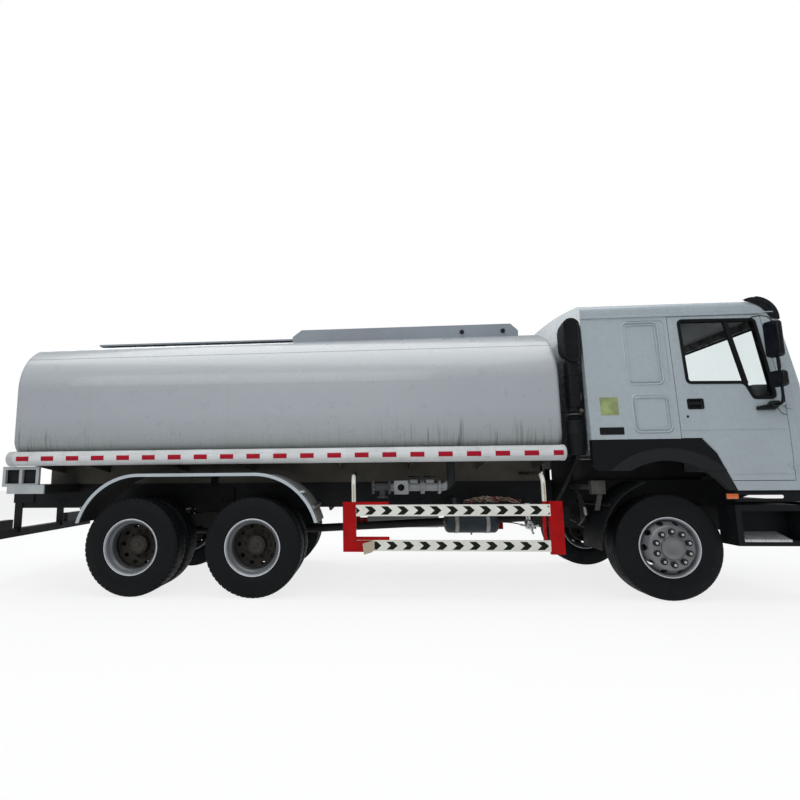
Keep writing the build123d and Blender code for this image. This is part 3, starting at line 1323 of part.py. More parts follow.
def circle_through(a, b, c):
    """Centre and radius of the circle through three points."""
    (ax, az), (bx, bz), (cx, cz) = a, b, c
    d = 2 * (ax * (bz - cz) + bx * (cz - az) + cx * (az - bz))
    x = ((ax**2 + az**2) * (bz - cz) + (bx**2 + bz**2) * (cz - az) + (cx**2 + cz**2) * (az - bz)) / d
    z = ((ax**2 + az**2) * (cx - bx) + (bx**2 + bz**2) * (ax - cx) + (cx**2 + cz**2) * (bx - ax)) / d
    return (x, z), hypot(ax - x, az - z)


visor_centre, visor_radius = circle_through(visor_tip, visor_crown, visor_lip)
with BuildPart() as sun_visor:
    # brackets on the roof's front edge
    bracket_low = cab_gutter + 20
    bracket_high = cab_gutter + 60
    for y in (-700, 0, 700):
        with BuildSketch(Plane.XZ.offset(-y - 20)):
            with BuildLine():
                Polyline((roof_front_x(bracket_low) + seat_gap, bracket_low), (visor_lip[0] + 20, bracket_low),
                         (visor_lip[0] + 20, bracket_high), (roof_front_x(bracket_high) + seat_gap, bracket_high),
                         close=True)
            make_face()
            with Locations(visor_centre):
                Circle(visor_radius - 2, mode=Mode.INTERSECT)
        extrude(amount=40)
    # curved sheet across the front
    with BuildSketch(Plane.XZ.offset(-visor_half_width)):
        with Locations(visor_centre):
            Circle(visor_radius)
            Circle(visor_radius - visor_plate, mode=Mode.SUBTRACT)
        sheet_front, sheet_top = visor_lip[0] + 20, visor_crown[1] + 50
        with Locations(((visor_sheet_rear + sheet_front) / 2, (visor_lip[1] + sheet_top) / 2)):
            Rectangle(sheet_front - visor_sheet_rear, sheet_top - visor_lip[1], mode=Mode.INTERSECT)
    extrude(amount=2 * visor_half_width)
    # cheeks that reach back over the roof's shoulders
    for side in (-1, 1):
        with BuildSketch(Plane.XZ.offset(-side * visor_half_width)):
            with BuildLine():
                ThreePointArc(visor_tip, visor_crown, visor_lip)
                Polyline(visor_lip, (screen_head_x + 30, cab_gutter - 25), (screen_head_x + 6, cab_gutter + 30),
                         (screen_head_x - 28, cab_gutter + 128), (screen_head_x - 55, cab_gutter + 166),
                         (visor_tip[0] + 4, visor_tip[1] - 6), visor_tip)
            make_face()
        extrude(amount=-side * visor_plate)
finish(sun_visor, "sun_visor")

# ================================================================ cab inside
seat_centres = (-720, 720)
seat_x = front_axle_x + 310
with BuildPart() as seats:
    for y in seat_centres:
        with Locations((seat_x, y, 1745)):
            Box(500, 520, 140)
        with Locations((seat_x, y, (deck_top + seat_gap + 1675) / 2)):
            Box(360, 360, 1675 - deck_top - seat_gap)
        with Locations(Location((seat_x - 260, y, 2080), (0, -10, 0))):
            Box(130, 500, 640)
        with Locations(Location((seat_x - 330, y, 2450), (0, -10, 0))):
            Box(90, 280, 180)
finish(seats, "seats")

with BuildPart() as bunk:
    with Locations((cab_rear + cab_wall + seat_gap + 280, 0, (deck_top + seat_gap + 1860) / 2)):
        Box(560, 2240, 1860 - deck_top - seat_gap)
finish(bunk, "bunk")

column_radius = 45
column_length = 400
column_slope = 50
column = Plane(origin=(cab_front - 620, seat_centres[1], 2150), x_dir=(0, 1, 0),
               z_dir=(-cos(radians(column_slope)), 0, sin(radians(column_slope))))
dash_front = cab_front - 125
with BuildPart() as dashboard:
    with BuildSketch(Plane.XZ.offset(-1150)):
        with BuildLine():
            Polyline((dash_front, 1560), (dash_front - 145, 1560), (dash_front - 285, 1900), (dash_front - 265, 2060),
                     (dash_front, 2060), close=True)
        make_face()
    extrude(amount=2300)
    for side in (-1, 1):
        with Locations((dash_front - 45, side * 700, (footwell_z + cab_floor_thickness + seat_gap + 1570) / 2)):
            Box(60, 60, 1570 - footwell_z - cab_floor_thickness - seat_gap)
    # socket for the steering column
    with BuildSketch(column):
        Circle(column_radius + seat_gap)
    extrude(amount=-column_length - 20, mode=Mode.SUBTRACT)
finish(dashboard, "dashboard")

with BuildPart() as steering_wheel:
    with BuildSketch(column):
        Circle(column_radius)
    extrude(amount=-column_length)
    with BuildSketch(column):
        Circle(235)
        Circle(205, mode=Mode.SUBTRACT)
        Rectangle(430, 34)
    extrude(amount=26, both=True)
finish(steering_wheel, "steering_wheel")

# ================================================================ doors
glass_thickness = 6
handle_x = door_rear + 174
handle_z = 1990
mirror_x = door_front - 150
mirror_arm_x = mirror_x + 10
mirror_y = 1400
mirror_width = 200
mirror_depth = 90
main_mirror_low = 2425
main_mirror_high = 2855
wide_mirror_low = 2110
wide_mirror_high = 2295
mirror_foot_z = 1960
mirror_tube_radius = 13
mirror_arm_radius = 15
window_corner = 42
window = ((door_rear + 107, door_top - 40), (door_front_top - 58, door_top - 50), (door_front - 75, 2040),
          (door_front - 285, 2040), (door_front - 353, 2205), (door_rear + 123, 2215))
bar_width = 30
bar_head_x = door_rear + 560
bar_foot_x = door_rear + 684
for side in (-1, 1):
    name = side_names[side]
    # upright bar between the main window and the quarter light
    with BuildPart() as window_bar:
        with BuildSketch(Plane.YZ.offset(door_rear)):
            with BuildLine():
                Polyline((side * cab_skin_y(2150, 2), 2150), (side * cab_skin_y(door_top - 15, 2), door_top - 15),
                         (side * cab_skin_y(door_top - 15, 20), door_top - 15), (side * cab_skin_y(2150, 20), 2150),
                         close=True)
            make_face()
        extrude(amount=door_front - door_rear)
        with BuildSketch(Plane.XZ.offset(-1500)):
            with BuildLine():
                Polyline((bar_head_x, door_top - 25), (bar_head_x + bar_width, door_top - 25),
                         (bar_foot_x + bar_width, 2160), (bar_foot_x, 2160), close=True)
            make_face()
        extrude(amount=3000, mode=Mode.INTERSECT)
    with BuildPart() as door:
        with BuildSketch(Plane.YZ.offset(door_rear)):
            with BuildLine():
                add(cab_wall_section(side))
            make_face()
        extrude(amount=door_front - door_rear)
        with BuildSketch(Plane.XZ.offset(-1500)):
            with BuildLine():
                add(door_outline(0))
            make_face()
        extrude(amount=3000, mode=Mode.INTERSECT)
        with BuildSketch(Plane.XZ.offset(-1500)):
            with BuildLine():
                FilletPolyline(*window, radius=window_corner, close=True)
            make_face()
        extrude(amount=3000, mode=Mode.SUBTRACT)
        # creases across the skin
        for z, start in ((1715, door_rear), (1266, front_axle_x + 620)):
            with Locations(((start + door_front) / 2, side * cab_half_width, z)):
                Box(door_front - start - 20, 6, 5, mode=Mode.SUBTRACT)
        with Locations((handle_x, side * (cab_skin_y(handle_z) - 6), handle_z)):
            Box(150, 44, 96, mode=Mode.SUBTRACT)
        with Locations((handle_x, side * (cab_skin_y(handle_z) - 9), handle_z + 10)):
            Box(152, 14, 34)
        add(window_bar.part)
        for z in door_hinges_z:
            add(hinge_half(side, z + door_barrel_length / 2 + 0.5, -1, 50))
            with Locations((door_hinge_x, side * door_hinge_y, z)):
                Cylinder(door_pin_radius + running_gap, 4 * door_barrel_length, mode=Mode.SUBTRACT)
    finish(door, f"door_{name}")

    with BuildPart() as glass:
        with BuildSketch(Plane.YZ.offset(door_rear)):
            with BuildLine():
                Polyline((side * cab_skin_y(2000, 22), 2000), (side * cab_skin_y(door_top + 15, 22), door_top + 15),
                         (side * cab_skin_y(door_top + 15, 22 + glass_thickness), door_top + 15),
                         (side * cab_skin_y(2000, 22 + glass_thickness), 2000), close=True)
            make_face()
        extrude(amount=door_front - door_rear)
        with BuildSketch(Plane.XZ.offset(-1500)):
            with BuildLine():
                FilletPolyline(*window, radius=window_corner, close=True)
            make_face()
            offset(amount=-seat_gap, mode=Mode.REPLACE)
        extrude(amount=3000, mode=Mode.INTERSECT)
    finish(glass, f"door_glass_{name}")

    with BuildPart() as mirror:
        for low, high in ((main_mirror_low, main_mirror_high), (wide_mirror_low, wide_mirror_high)):
            with BuildSketch(Plane.YZ.offset(mirror_x - mirror_depth / 2)):
                with Locations((side * mirror_y, (low + high) / 2)):
                    RectangleRounded(mirror_width, high - low, 34)
            extrude(amount=mirror_depth)
        # one upright tube on a foot below the window
        with Locations((mirror_arm_x, side * mirror_y, (mirror_foot_z + main_mirror_low + 60) / 2)):
            Cylinder(mirror_tube_radius, main_mirror_low + 60 - mirror_foot_z)
        foot_face = cab_skin_y(mirror_foot_z - 50) + seat_gap
        arm_in, arm_out = foot_face + 5, mirror_y + mirror_arm_radius
        with Locations(Location((mirror_arm_x, side * (arm_in + arm_out) / 2, mirror_foot_z), (90, 0, 0))):
            Cylinder(mirror_arm_radius, arm_out - arm_in)
        with Locations((mirror_arm_x - 38, side * (foot_face + 9), mirror_foot_z)):
            Box(220, 18, 100)
    finish(mirror, f"mirror_{name}")
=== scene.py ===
"""Paint, tyres, lamps, trim and studio for the forward-control 6x4 water tanker.

Metres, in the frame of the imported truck: +X forward, +Y the truck's left, +Z up.
"""
from math import atan2, cos, hypot, pi, radians, sin, sqrt, tan

import bmesh
import bpy
from mathutils import Matrix, Vector


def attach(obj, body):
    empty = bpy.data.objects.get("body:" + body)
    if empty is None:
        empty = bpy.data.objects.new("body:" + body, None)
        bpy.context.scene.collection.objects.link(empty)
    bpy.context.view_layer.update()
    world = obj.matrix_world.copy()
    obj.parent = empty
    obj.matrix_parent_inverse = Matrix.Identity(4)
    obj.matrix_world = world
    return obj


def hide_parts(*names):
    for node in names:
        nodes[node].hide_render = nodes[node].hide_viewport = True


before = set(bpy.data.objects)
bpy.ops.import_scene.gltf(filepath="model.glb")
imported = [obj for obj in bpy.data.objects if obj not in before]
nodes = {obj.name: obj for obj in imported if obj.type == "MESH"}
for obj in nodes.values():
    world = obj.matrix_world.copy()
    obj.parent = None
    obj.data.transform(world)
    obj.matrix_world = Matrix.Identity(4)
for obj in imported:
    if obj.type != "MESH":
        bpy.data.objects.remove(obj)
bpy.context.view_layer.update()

scene = bpy.context.scene
SIDES = ((-1, "right"), (1, "left"))

# ------------------------------------------------------------------ camera and studio

eye = Vector((0.028, -6.583, 1.299))
yaw, pitch, roll = radians(-4.6), radians(7.57), radians(-0.5)
ahead = Vector((sin(yaw) * cos(pitch), cos(yaw) * cos(pitch), sin(pitch)))
level = ahead.cross(Vector((0, 0, 1))).normalized()
above = level.cross(ahead)
right_hand = level * cos(roll) + above * sin(roll)
overhead = above * cos(roll) - level * sin(roll)
bpy.ops.object.camera_add()
camera = bpy.context.object
camera.data.lens = 22.24
camera.data.sensor_width = 36
camera.data.shift_x = 0.09
camera.data.shift_y = 0.011
camera.data.clip_end = 200
camera.matrix_world = Matrix.Translation(eye) @ Matrix((right_hand, overhead, -ahead)).transposed().to_4x4()
scene.camera = camera
scene.view_settings.view_transform = "Standard"


def lamp(name, place, target, size, power, colour=(1, 1, 1)):
    """A broad soft lamp that faces a point."""
    bpy.ops.object.light_add(type="AREA", location=place)
    light = bpy.context.object
    light.name = name
    light.data.shape = "RECTANGLE"
    light.data.size, light.data.size_y = size
    light.data.energy = power
    light.data.color = colour
    light.rotation_euler = (Vector(target) - Vector(place)).to_track_quat("-Z", "Y").to_euler()


lamp("sky_panel", (-0.5, -1.0, 9), (0, 0, 1), (14, 9), 860)
lamp("near_panel", (-3.5, -11, 7), (-1, 0, 2.2), (12, 4), 360)
lamp("front_panel", (11, 4, 6), (1, 0, 1.5), (6, 5), 240)
lamp("far_panel", (-6, 9, 6), (0, 0, 1.5), (10, 5), 380)


# ------------------------------------------------------------------ node tree helpers

class Value:
    """A node's output. Arithmetic and comparisons add a maths node; | gives the larger of two masks."""

    def __init__(self, tree, socket):
        self.tree, self.socket = tree, socket

    def __rsub__(self, other):
        return self.tree.math("SUBTRACT", other, self)


def maths_method(operation):
    """One operator of Value."""
    return lambda self, *others: self.tree.math(operation, self, *others)


for method, operation in (("add", "ADD"), ("sub", "SUBTRACT"), ("mul", "MULTIPLY"), ("truediv", "DIVIDE"),
                          ("lt", "LESS_THAN"), ("gt", "GREATER_THAN"), ("or", "MAXIMUM"), ("abs", "ABSOLUTE")):
    setattr(Value, f"__{method}__", maths_method(operation))


class Tree:
    """A material's nodes, laid out with short calls."""

    def __init__(self, name):
        self.material = bpy.data.materials.new(name)
        self.material.use_nodes = True
        self.tree = self.material.node_tree
        self.shader = self.tree.nodes["Principled BSDF"]
        self.out = self.tree.nodes["Material Output"]
        self.place = self.node("ShaderNodeTexCoord").outputs["Object"]
        split = self.node("ShaderNodeSeparateXYZ")
        self.link(self.place, split.inputs[0])
        self.x, self.y, self.z = (Value(self, split.outputs[key]) for key in "XYZ")

    def link(self, source, socket):
        if isinstance(source, (int, float, tuple)):
            socket.default_value = source
        else:
            self.tree.links.new(source.socket if isinstance(source, Value) else source, socket)

    def node(self, kind, **settings):
        node = self.tree.nodes.new(kind)
        for key, value in settings.items():
            setattr(node, key, value)
        return node

    def math(self, operation, first, second=0.0, third=0.0, clamp=False):
        node = self.node("ShaderNodeMath", operation=operation, use_clamp=clamp)
        for socket, value in zip(node.inputs, (first, second, third)):
            self.link(value, socket)
        return Value(self, node.outputs[0])

    def length(self, first, second):
        """How far a point lies from an axis."""
        return self.math("SQRT", first * first + second * second)

    def stretch(self, scale, turn=(0, 0, 0)):
        node = self.node("ShaderNodeMapping")
        self.link(self.place, node.inputs["Vector"])
        node.inputs["Scale"].default_value = scale
        node.inputs["Rotation"].default_value = turn
        return node.outputs[0]

    def noise(self, size, detail=4.0, rough=0.55, place=None):
        node = self.node("ShaderNodeTexNoise")
        self.link(place or self.place, node.inputs["Vector"])
        node.inputs["Scale"].default_value = size
        node.inputs["Detail"].default_value = detail
        node.inputs["Roughness"].default_value = rough
        return Value(self, node.outputs["Fac"])

    def ramp(self, value, low, high, to_low=0.0, to_high=1.0):
        node = self.node("ShaderNodeMapRange")
        node.clamp = True
        for socket, number in zip(list(node.inputs)[:5], (value, low, high, to_low, to_high)):
            self.link(number, socket)
        return Value(self, node.outputs[0])

    def mix(self, amount, first, second):
        node = self.node("ShaderNodeMix", data_type="RGBA")
        self.link(amount, node.inputs[0])
        self.link(first, node.inputs[6])
        self.link(second, node.inputs[7])
        return node.outputs[2]

    def between(self, value, low, high):
        """1 where low < value < high."""
        return (value > low) * (value < high)

    def linked(self, name):
        """What already feeds an input of the shader."""
        return self.shader.inputs[name].links[0].from_socket

    def bump(self, height, strength, distance=0.002, under=None):
        node = self.node("ShaderNodeBump")
        node.inputs["Strength"].default_value = strength
        node.inputs["Distance"].default_value = distance
        self.link(height, node.inputs["Height"])
        if under is not None:
            self.link(under, node.inputs["Normal"])
        return node.outputs[0]

    def set(self, **values):
        for key, value in values.items():
            self.link(value, self.shader.inputs[key.replace("_", " ")])
        return self


def rgb(r, g, b):
    return (r, g, b, 1.0)


def coated(name, colour, rough, metallic=0.0, mottle=0.12, patch=1.6, grain=220.0, relief=0.12, dust=0.25,
           dust_colour=rgb(0.2, 0.17, 0.13), dust_top=1.1, coat=0.0, shine=0.5):
    """Painted, moulded or cast surface: faint patches, fine grain, and road dust that thins with height."""
    t = Tree(name)
    darker = rgb(*[c * (1 - mottle) for c in colour[:3]])
    patches = t.ramp(t.noise(patch, 5.0), 0.35, 0.65)
    base = t.mix(patches, colour, darker)
    low = t.ramp(t.z, 0.15, dust_top, 1.0, 0.12)
    film = t.ramp(t.noise(7.0, 6.0, 0.65), 0.38, 0.72, 0.0, dust)
    film = t.math("MULTIPLY", film, low, clamp=True)
    base = t.mix(film, base, dust_colour)
    worn = t.ramp(t.noise(patch * 6, 6.0, 0.7), 0.3, 0.7, max(0.02, rough - 0.07), min(1.0, rough + 0.09))
    rough_out = t.math("ADD", worn, film * 0.5, clamp=True)
    fine = t.bump(t.noise(grain, 3.0), relief, 0.0006)
    t.set(Base_Color=base, Roughness=rough_out, Metallic=metallic, Normal=fine)
    t.set(Coat_Weight=coat, Coat_Roughness=0.12)
    t.set(Specular_IOR_Level=shine)
    return t


def brushed(name, colour, rough, along=(1, 1, 40), dirt=0.25, dirt_colour=rgb(0.1, 0.08, 0.06)):
    """Bare or galvanised metal with drawn lines and grime."""
    t = Tree(name)
    lines = t.noise(30.0, 4.0, 0.6, t.stretch(along))
    blotch = t.ramp(t.noise(3.5, 6.0, 0.7), 0.42, 0.72, 0.0, dirt)
    base = t.mix(lines, rgb(*[c * 0.8 for c in colour[:3]]), colour)
    base = t.mix(blotch, base, dirt_colour)
    t.set(Base_Color=base, Roughness=t.ramp(lines, 0.2, 0.8, rough - 0.06, rough + 0.12), Metallic=0.85,
          Normal=t.bump(lines, 0.12, 0.0005))
    return t


# sizes that the finishes share with the pieces: axles, the cab's leaning side and front, arch centre
AXLE_Z, FRONT_X, MIDDLE_X, REAR_X = 0.532, 3.07, -1.23, -2.58
SIDE_Y, SIDE_LEAN, BELT_Z = 1.24, 0.0447, 1.73
NOSE_X, NOSE_LEAN, NOSE_Z = 4.47, 0.1458, 2.0
ARCH_Z, WALL_THICK = 0.715, 0.028

WHITE = rgb(0.345, 0.365, 0.39)
CAB_WHITE = rgb(0.345, 0.395, 0.42)

# ------------------------------------------------------------------ finishes


CROWN_Z = 2.713


def tank_paint():
    """White tank with painted light and shade by height: darker towards the bottom, a lighter band under the shoulder,
    a darker crown and near black below the tube. Also faint seams, a film of dust, and dark water runs up from its
    lower edge.
    """
    t = Tree("tank_white")
    x, z = t.x, t.z
    base = t.mix(t.ramp(t.noise(0.5, 3.0), 0.3, 0.7), WHITE, rgb(0.325, 0.345, 0.368))
    # painted shade darker towards the bottom, a painted highlight as a lighter band under the shoulder, and painted
    # shade on the crown
    base = t.mix(t.ramp(z, 2.0, 1.6, 0.0, 0.5), base, rgb(0.19, 0.212, 0.218))
    base = t.mix(t.ramp(z, 2.35, 2.66), base, rgb(0.4, 0.42, 0.43))
    base = t.mix(t.ramp(z, 2.715, 2.93), base, rgb(0.185, 0.205, 0.22))
    edge = t.ramp(abs(z - CROWN_Z), 0.0075, 0.0035, 0.0, 0.8)
    base = t.mix(edge, base, rgb(0.1, 0.115, 0.12))
    # runs: thin upright lines whose tops end at uneven heights
    thin = t.noise(1.0, 6.0, 0.8, t.stretch((46, 2.0, 0.3)))
    reach = t.noise(1.0, 4.0, 0.7, t.stretch((8, 0.5, 0.0)))
    top = t.ramp(reach, 0.35, 0.7, 1.62, 2.06)
    height = t.math("DIVIDE", top - z, 0.12, clamp=True)
    ends = t.ramp(x, -2.6, -3.9) | t.ramp(x, 0.0, 1.0)
    amount = t.ramp(thin, 0.5, 0.62) * height
    amount = t.math("MULTIPLY", amount, t.math("MULTIPLY_ADD", ends, 0.75, 0.18), clamp=True)
    base = t.mix(amount, base, rgb(0.055, 0.065, 0.045))
    # moss and dust where the side meets the tube, and painted shade below it
    skirt = t.ramp(z, 1.8, 1.57) * t.ramp(t.noise(5.0, 6.0, 0.7), 0.3, 0.75, 0.2, 0.62)
    base = t.mix(skirt, base, rgb(0.17, 0.185, 0.15))
    # painted shade: the belly below the tube is taken near black
    base = t.mix(t.ramp(z, 1.56, 1.536), base, rgb(0.035, 0.034, 0.03))
    # welded seams round the shell
    seam = None
    for place in (-3.2, -1.55, 0.1, 1.45):
        line = t.ramp(abs(x - place), 0.007, 0.002)
        seam = line if seam is None else seam | line
    base = t.mix(seam * 0.1, base, rgb(0.2, 0.21, 0.21))
    swirl = t.noise(2.2, 3.0) + seam * 0.05
    t.set(Base_Color=base, Roughness=t.ramp(t.noise(6.0, 5.0), 0.3, 0.7, 0.24, 0.4),
          Normal=t.bump(swirl, 0.18, 0.02, t.bump(t.noise(160.0, 2.0), 0.1, 0.0006)))
    t.set(Coat_Weight=0.25)
    return t


TAPE_FIRST, TAPE_LAST, TAPE_PITCH, TAPE_LENGTH = -3.969, 2.072, 0.2962, 0.15


def tube_paint():
    """White hose carrier with red strips along its outward face."""
    t = Tree("tube_white")
    x, y, z = t.x, t.y, t.z
    base = t.mix(t.ramp(t.noise(2.0, 5.0), 0.35, 0.65), rgb(0.56, 0.575, 0.58), rgb(0.47, 0.48, 0.48))
    soot_and_shade = t.ramp(t.noise(9.0, 6.0, 0.7, t.stretch((1, 1, 0.4))), 0.5, 0.8, 0.0, 0.4)
    base = t.mix(soot_and_shade, base, rgb(0.24, 0.24, 0.21))
    turn = t.math("FRACT", (x - TAPE_FIRST) / TAPE_PITCH)
    strip = turn < TAPE_LENGTH / TAPE_PITCH
    strip = strip * t.between(x, TAPE_FIRST - 0.001, TAPE_LAST)
    band = t.between(z, 1.478, 1.531)
    outward = abs(y) > 1.17
    tape = strip * band * outward
    red = t.mix(t.noise(400.0, 2.0), rgb(0.26, 0.0005, 0.01), rgb(0.38, 0.001, 0.02))
    white_tape = band * outward * t.between(x, TAPE_FIRST, TAPE_LAST)
    base = t.mix(white_tape * 0.5, base, rgb(0.66, 0.67, 0.68))
    base = t.mix(tape, base, red)
    t.set(Base_Color=base, Roughness=t.ramp(t.noise(12.0), 0.3, 0.7, 0.36, 0.52),
          Normal=t.bump(t.noise(120.0, 3.0) + tape * 2.0, 0.12, 0.0008))
    t.set(Specular_IOR_Level=0.18)
    return t


RAIL_HIGH, RAIL_LOW = (0.855, 0.974), (0.496, 0.608)
GUARD, GUARD_FACE = (-0.256, 2.019), 1.205
CHEVRON_PITCH, CHEVRON_STROKE = 0.1712, 0.074


def guard_paint():
    """Side guard: white rails with black chevrons that point forward, red end frames, white hangers, and painted shade,
    near black, where its parts reach in under the tank.
    """
    t = Tree("side_guard_stripes")
    x, y, z = t.x, t.y, t.z
    white = t.mix(t.ramp(t.noise(7.0, 6.0, 0.7), 0.4, 0.75, 0.0, 0.5), rgb(0.72, 0.72, 0.66), rgb(0.52, 0.51, 0.44))
    tail = abs(y) > GUARD_FACE + 0.0045
    white = t.mix(tail, white, rgb(0.42, 0.36, 0.27))
    black = None
    for (low, high), first, last, tip in ((RAIL_HIGH, -0.112, 1.885, 0.101), (RAIL_LOW, 0.075, 1.905, 0.147)):
        middle, half = (low + high) / 2, (high - low) / 2
        lean = abs(z - middle) * 1.15
        back = tip - x - lean
        turn = t.math("FRACT", back / CHEVRON_PITCH + 20.0)
        inside = t.between(z, low + half * 0.26, high - half * 0.26) * t.between(x, first, last)
        mark = (turn < CHEVRON_STROKE / CHEVRON_PITCH) * inside
        black = mark if black is None else black | mark
    black = black * (abs(y) > GUARD_FACE)
    base = t.mix(black, white, rgb(0.004, 0.008, 0.004))
    red = t.mix(t.ramp(t.noise(8.0, 6.0), 0.4, 0.7), rgb(0.36, 0.0005, 0.002), rgb(0.24, 0.0005, 0.002))
    ends = (x < GUARD[0] + 0.142) | (x > GUARD[1] - 0.141) * (t.between(z, *RAIL_HIGH) < 0.5)
    ends = ends | (x > GUARD[1] - 0.126)
    ends = ends | (z > RAIL_HIGH[1] + 0.0005)
    inner = t.between(x, GUARD[1] - 0.205, GUARD[1] - 0.17) * t.between(z, RAIL_LOW[1], RAIL_HIGH[0])
    arms = (x < GUARD[0] + 0.492) * t.between(z, RAIL_LOW[1] + 0.0005, 0.645)
    feet = (x < GUARD[0] + 0.312) * (z < 0.5205)
    arms = (arms | feet) * (abs(y) < GUARD_FACE + 0.0045)
    ends = ends | (inner | arms)
    ends = ends * (z < 1.0045)

    base = t.mix(ends, base, red)
    dust = t.math("MULTIPLY", t.ramp(z, 0.9, 0.45, 0.05, 0.25), t.ramp(t.noise(5.0, 6.0, 0.7), 0.4, 0.7), clamp=True)
    marked = ends | black
    dust = dust * t.math("MULTIPLY_ADD", marked, -0.85, 1.0)
    base = t.mix(dust, base, rgb(0.23, 0.19, 0.14))
    # painted shade: parts reaching in under the tank are taken near black
    shade_under_tank = (abs(y) < 1.14) * (z > 1.1)
    base = t.mix(shade_under_tank, base, rgb(0.05, 0.045, 0.036))
    t.set(Base_Color=base, Roughness=t.ramp(t.noise(9.0, 5.0), 0.3, 0.7, 0.38, 0.6),
          Normal=t.bump(t.noise(150.0, 3.0), 0.12, 0.0007))
    t.set(Specular_IOR_Level=0.12)
    return t


def window_glass(name, tint, clear=1.0):
    """Clear safety glass with faint wipe marks."""
    t = Tree(name)
    smear = t.noise(6.0, 5.0, 0.7, t.stretch((1, 1, 0.5)))
    t.set(Base_Color=t.mix(t.ramp(smear, 0.4, 0.8, 0.0, 0.35), tint, rgb(*[c * 0.93 for c in tint[:3]])),
          Roughness=t.ramp(smear, 0.3, 0.8, 0.0, 0.05), Normal=t.bump(t.noise(2.0, 2.0), 0.02, 0.002))
    t.set(Transmission_Weight=clear, IOR=1.12)
    return t


def tread_plate(name, colour, pitch):
    """Raised crosswise lozenges pressed in sheet metal."""
    t = Tree(name)
    wave = t.node("ShaderNodeTexWave", wave_type="BANDS", bands_direction="X")
    cross = t.node("ShaderNodeTexWave", wave_type="BANDS", bands_direction="Y")
    turned_place = t.stretch((1, 1, 1), (0, 0, pi / 4))
    for w in (wave, cross):
        t.link(turned_place, w.inputs["Vector"])
        w.inputs["Scale"].default_value = 0.31 / pitch
    studs = t.ramp(t.math("MULTIPLY", wave.outputs["Fac"], cross.outputs["Fac"]), 0.45, 0.7)
    dirt = t.ramp(t.noise(9.0, 6.0, 0.7), 0.4, 0.75, 0.1, 0.6)
    base = t.mix(dirt * (1.0 - studs), colour, rgb(0.09, 0.085, 0.07))
    t.set(Base_Color=base, Roughness=0.42, Metallic=0.75, Normal=t.bump(studs, 0.6, 0.002))
    return t


def rubber(name, colour=rgb(0.003, 0.004, 0.005), dusty=0.3):
    """Tyre rubber: nearly black, greyed by dust in blotches, with a fine pebble."""
    t = Tree(name)
    base = t.mix(t.ramp(t.noise(3.0, 5.0), 0.35, 0.7), colour, rgb(0.005, 0.006, 0.0075))
    film = t.ramp(t.noise(11.0, 7.0, 0.7), 0.42, 0.75, 0.0, dusty)
    base = t.mix(film, base, rgb(0.013, 0.014, 0.0135))
    t.set(Base_Color=base, Roughness=t.ramp(film, 0.0, dusty, 0.52, 0.86),
          Normal=t.bump(t.noise(420.0, 2.0), 0.25, 0.0006, t.bump(t.noise(40.0, 3.0), 0.1, 0.001)))
    t.set(Specular_IOR_Level=0.13)
    return t


def cloth(name, colour, pitch=0.0016):
    """Woven seat cover: crossing threads, soft sheen, slight fading."""
    t = Tree(name)
    warp = t.node("ShaderNodeTexWave", wave_type="BANDS", bands_direction="X")
    weft = t.node("ShaderNodeTexWave", wave_type="BANDS", bands_direction="Y")
    for w in (warp, weft):
        t.link(t.place, w.inputs["Vector"])
        w.inputs["Scale"].default_value = 0.31 / pitch
        w.inputs["Distortion"].default_value = 0.6
    weave = t.math("MAXIMUM", warp.outputs["Fac"], weft.outputs["Fac"])
    fade = t.ramp(t.noise(7.0, 5.0), 0.35, 0.7)
    base = t.mix(fade, colour, rgb(*[c * 0.72 for c in colour[:3]]))
    base = t.mix(weave * 0.3, base, rgb(*[min(1, c * 1.5) for c in colour[:3]]))
    t.set(Base_Color=base, Roughness=0.9, Normal=t.bump(weave, 0.35, 0.0006, t.bump(t.noise(30.0, 3.0), 0.2, 0.002)))
    t.set(Sheen_Weight=0.35, Sheen_Roughness=0.5)
    return t


def lens(name, colour, ribs=90.0, glow=0.0):
    """Moulded lamp lens with fine upright ribs."""
    t = Tree(name)
    wave = t.node("ShaderNodeTexWave", wave_type="BANDS", bands_direction="X")
    t.link(t.stretch((1, 1, 0)), wave.inputs["Vector"])
    wave.inputs["Scale"].default_value = ribs
    base = t.mix(t.ramp(t.noise(25.0, 4.0), 0.35, 0.7), colour, rgb(*[c * 0.75 for c in colour[:3]]))
    t.set(Base_Color=base, Roughness=t.ramp(t.noise(40.0), 0.3, 0.7, 0.1, 0.22),
          Normal=t.bump(wave.outputs["Fac"], 0.25, 0.001))
    t.set(Coat_Weight=0.6, Transmission_Weight=glow)
    return t


def cab_paint():
    """White cab shell outside, with painted shade, near black, on the back wall behind the tank; grey lining on every
    face that looks into the cab.
    """
    t = coated("cab_white", CAB_WHITE, 0.26, mottle=0.06, grain=160, relief=0.1, dust=0.22,
               dust_colour=rgb(0.2, 0.2, 0.18), dust_top=1.9, coat=0.25, shine=0.4)
    outside = t.linked("Base Color")
    x, y, z = t.x, t.y, t.z
    wall = SIDE_Y - t.math("MAXIMUM", z - BELT_Z, 0.0) * SIDE_LEAN
    face = NOSE_X - t.math("MAXIMUM", z - NOSE_Z, 0.0) * NOSE_LEAN
    inside = abs(y) < wall - WALL_THICK
    inside = inside * t.between(x, 2.375, face - WALL_THICK)
    inside = inside * (z < 3.085)
    lining = t.mix(t.ramp(t.noise(40.0, 4.0), 0.3, 0.7), rgb(0.11, 0.115, 0.12), rgb(0.085, 0.09, 0.095))
    # painted shade: the outside of the back wall is taken near black up to the tank's shoulder
    soot_and_shade = (x < 2.372) * t.ramp(abs(y), 1.15, 1.13)
    soot_and_shade = soot_and_shade * t.ramp(z, 2.72, 2.6, 0.0, 0.96)
    outside = t.mix(soot_and_shade, outside, rgb(0.008, 0.009, 0.01))
    t.set(Base_Color=t.mix(inside, outside, lining))
    return t


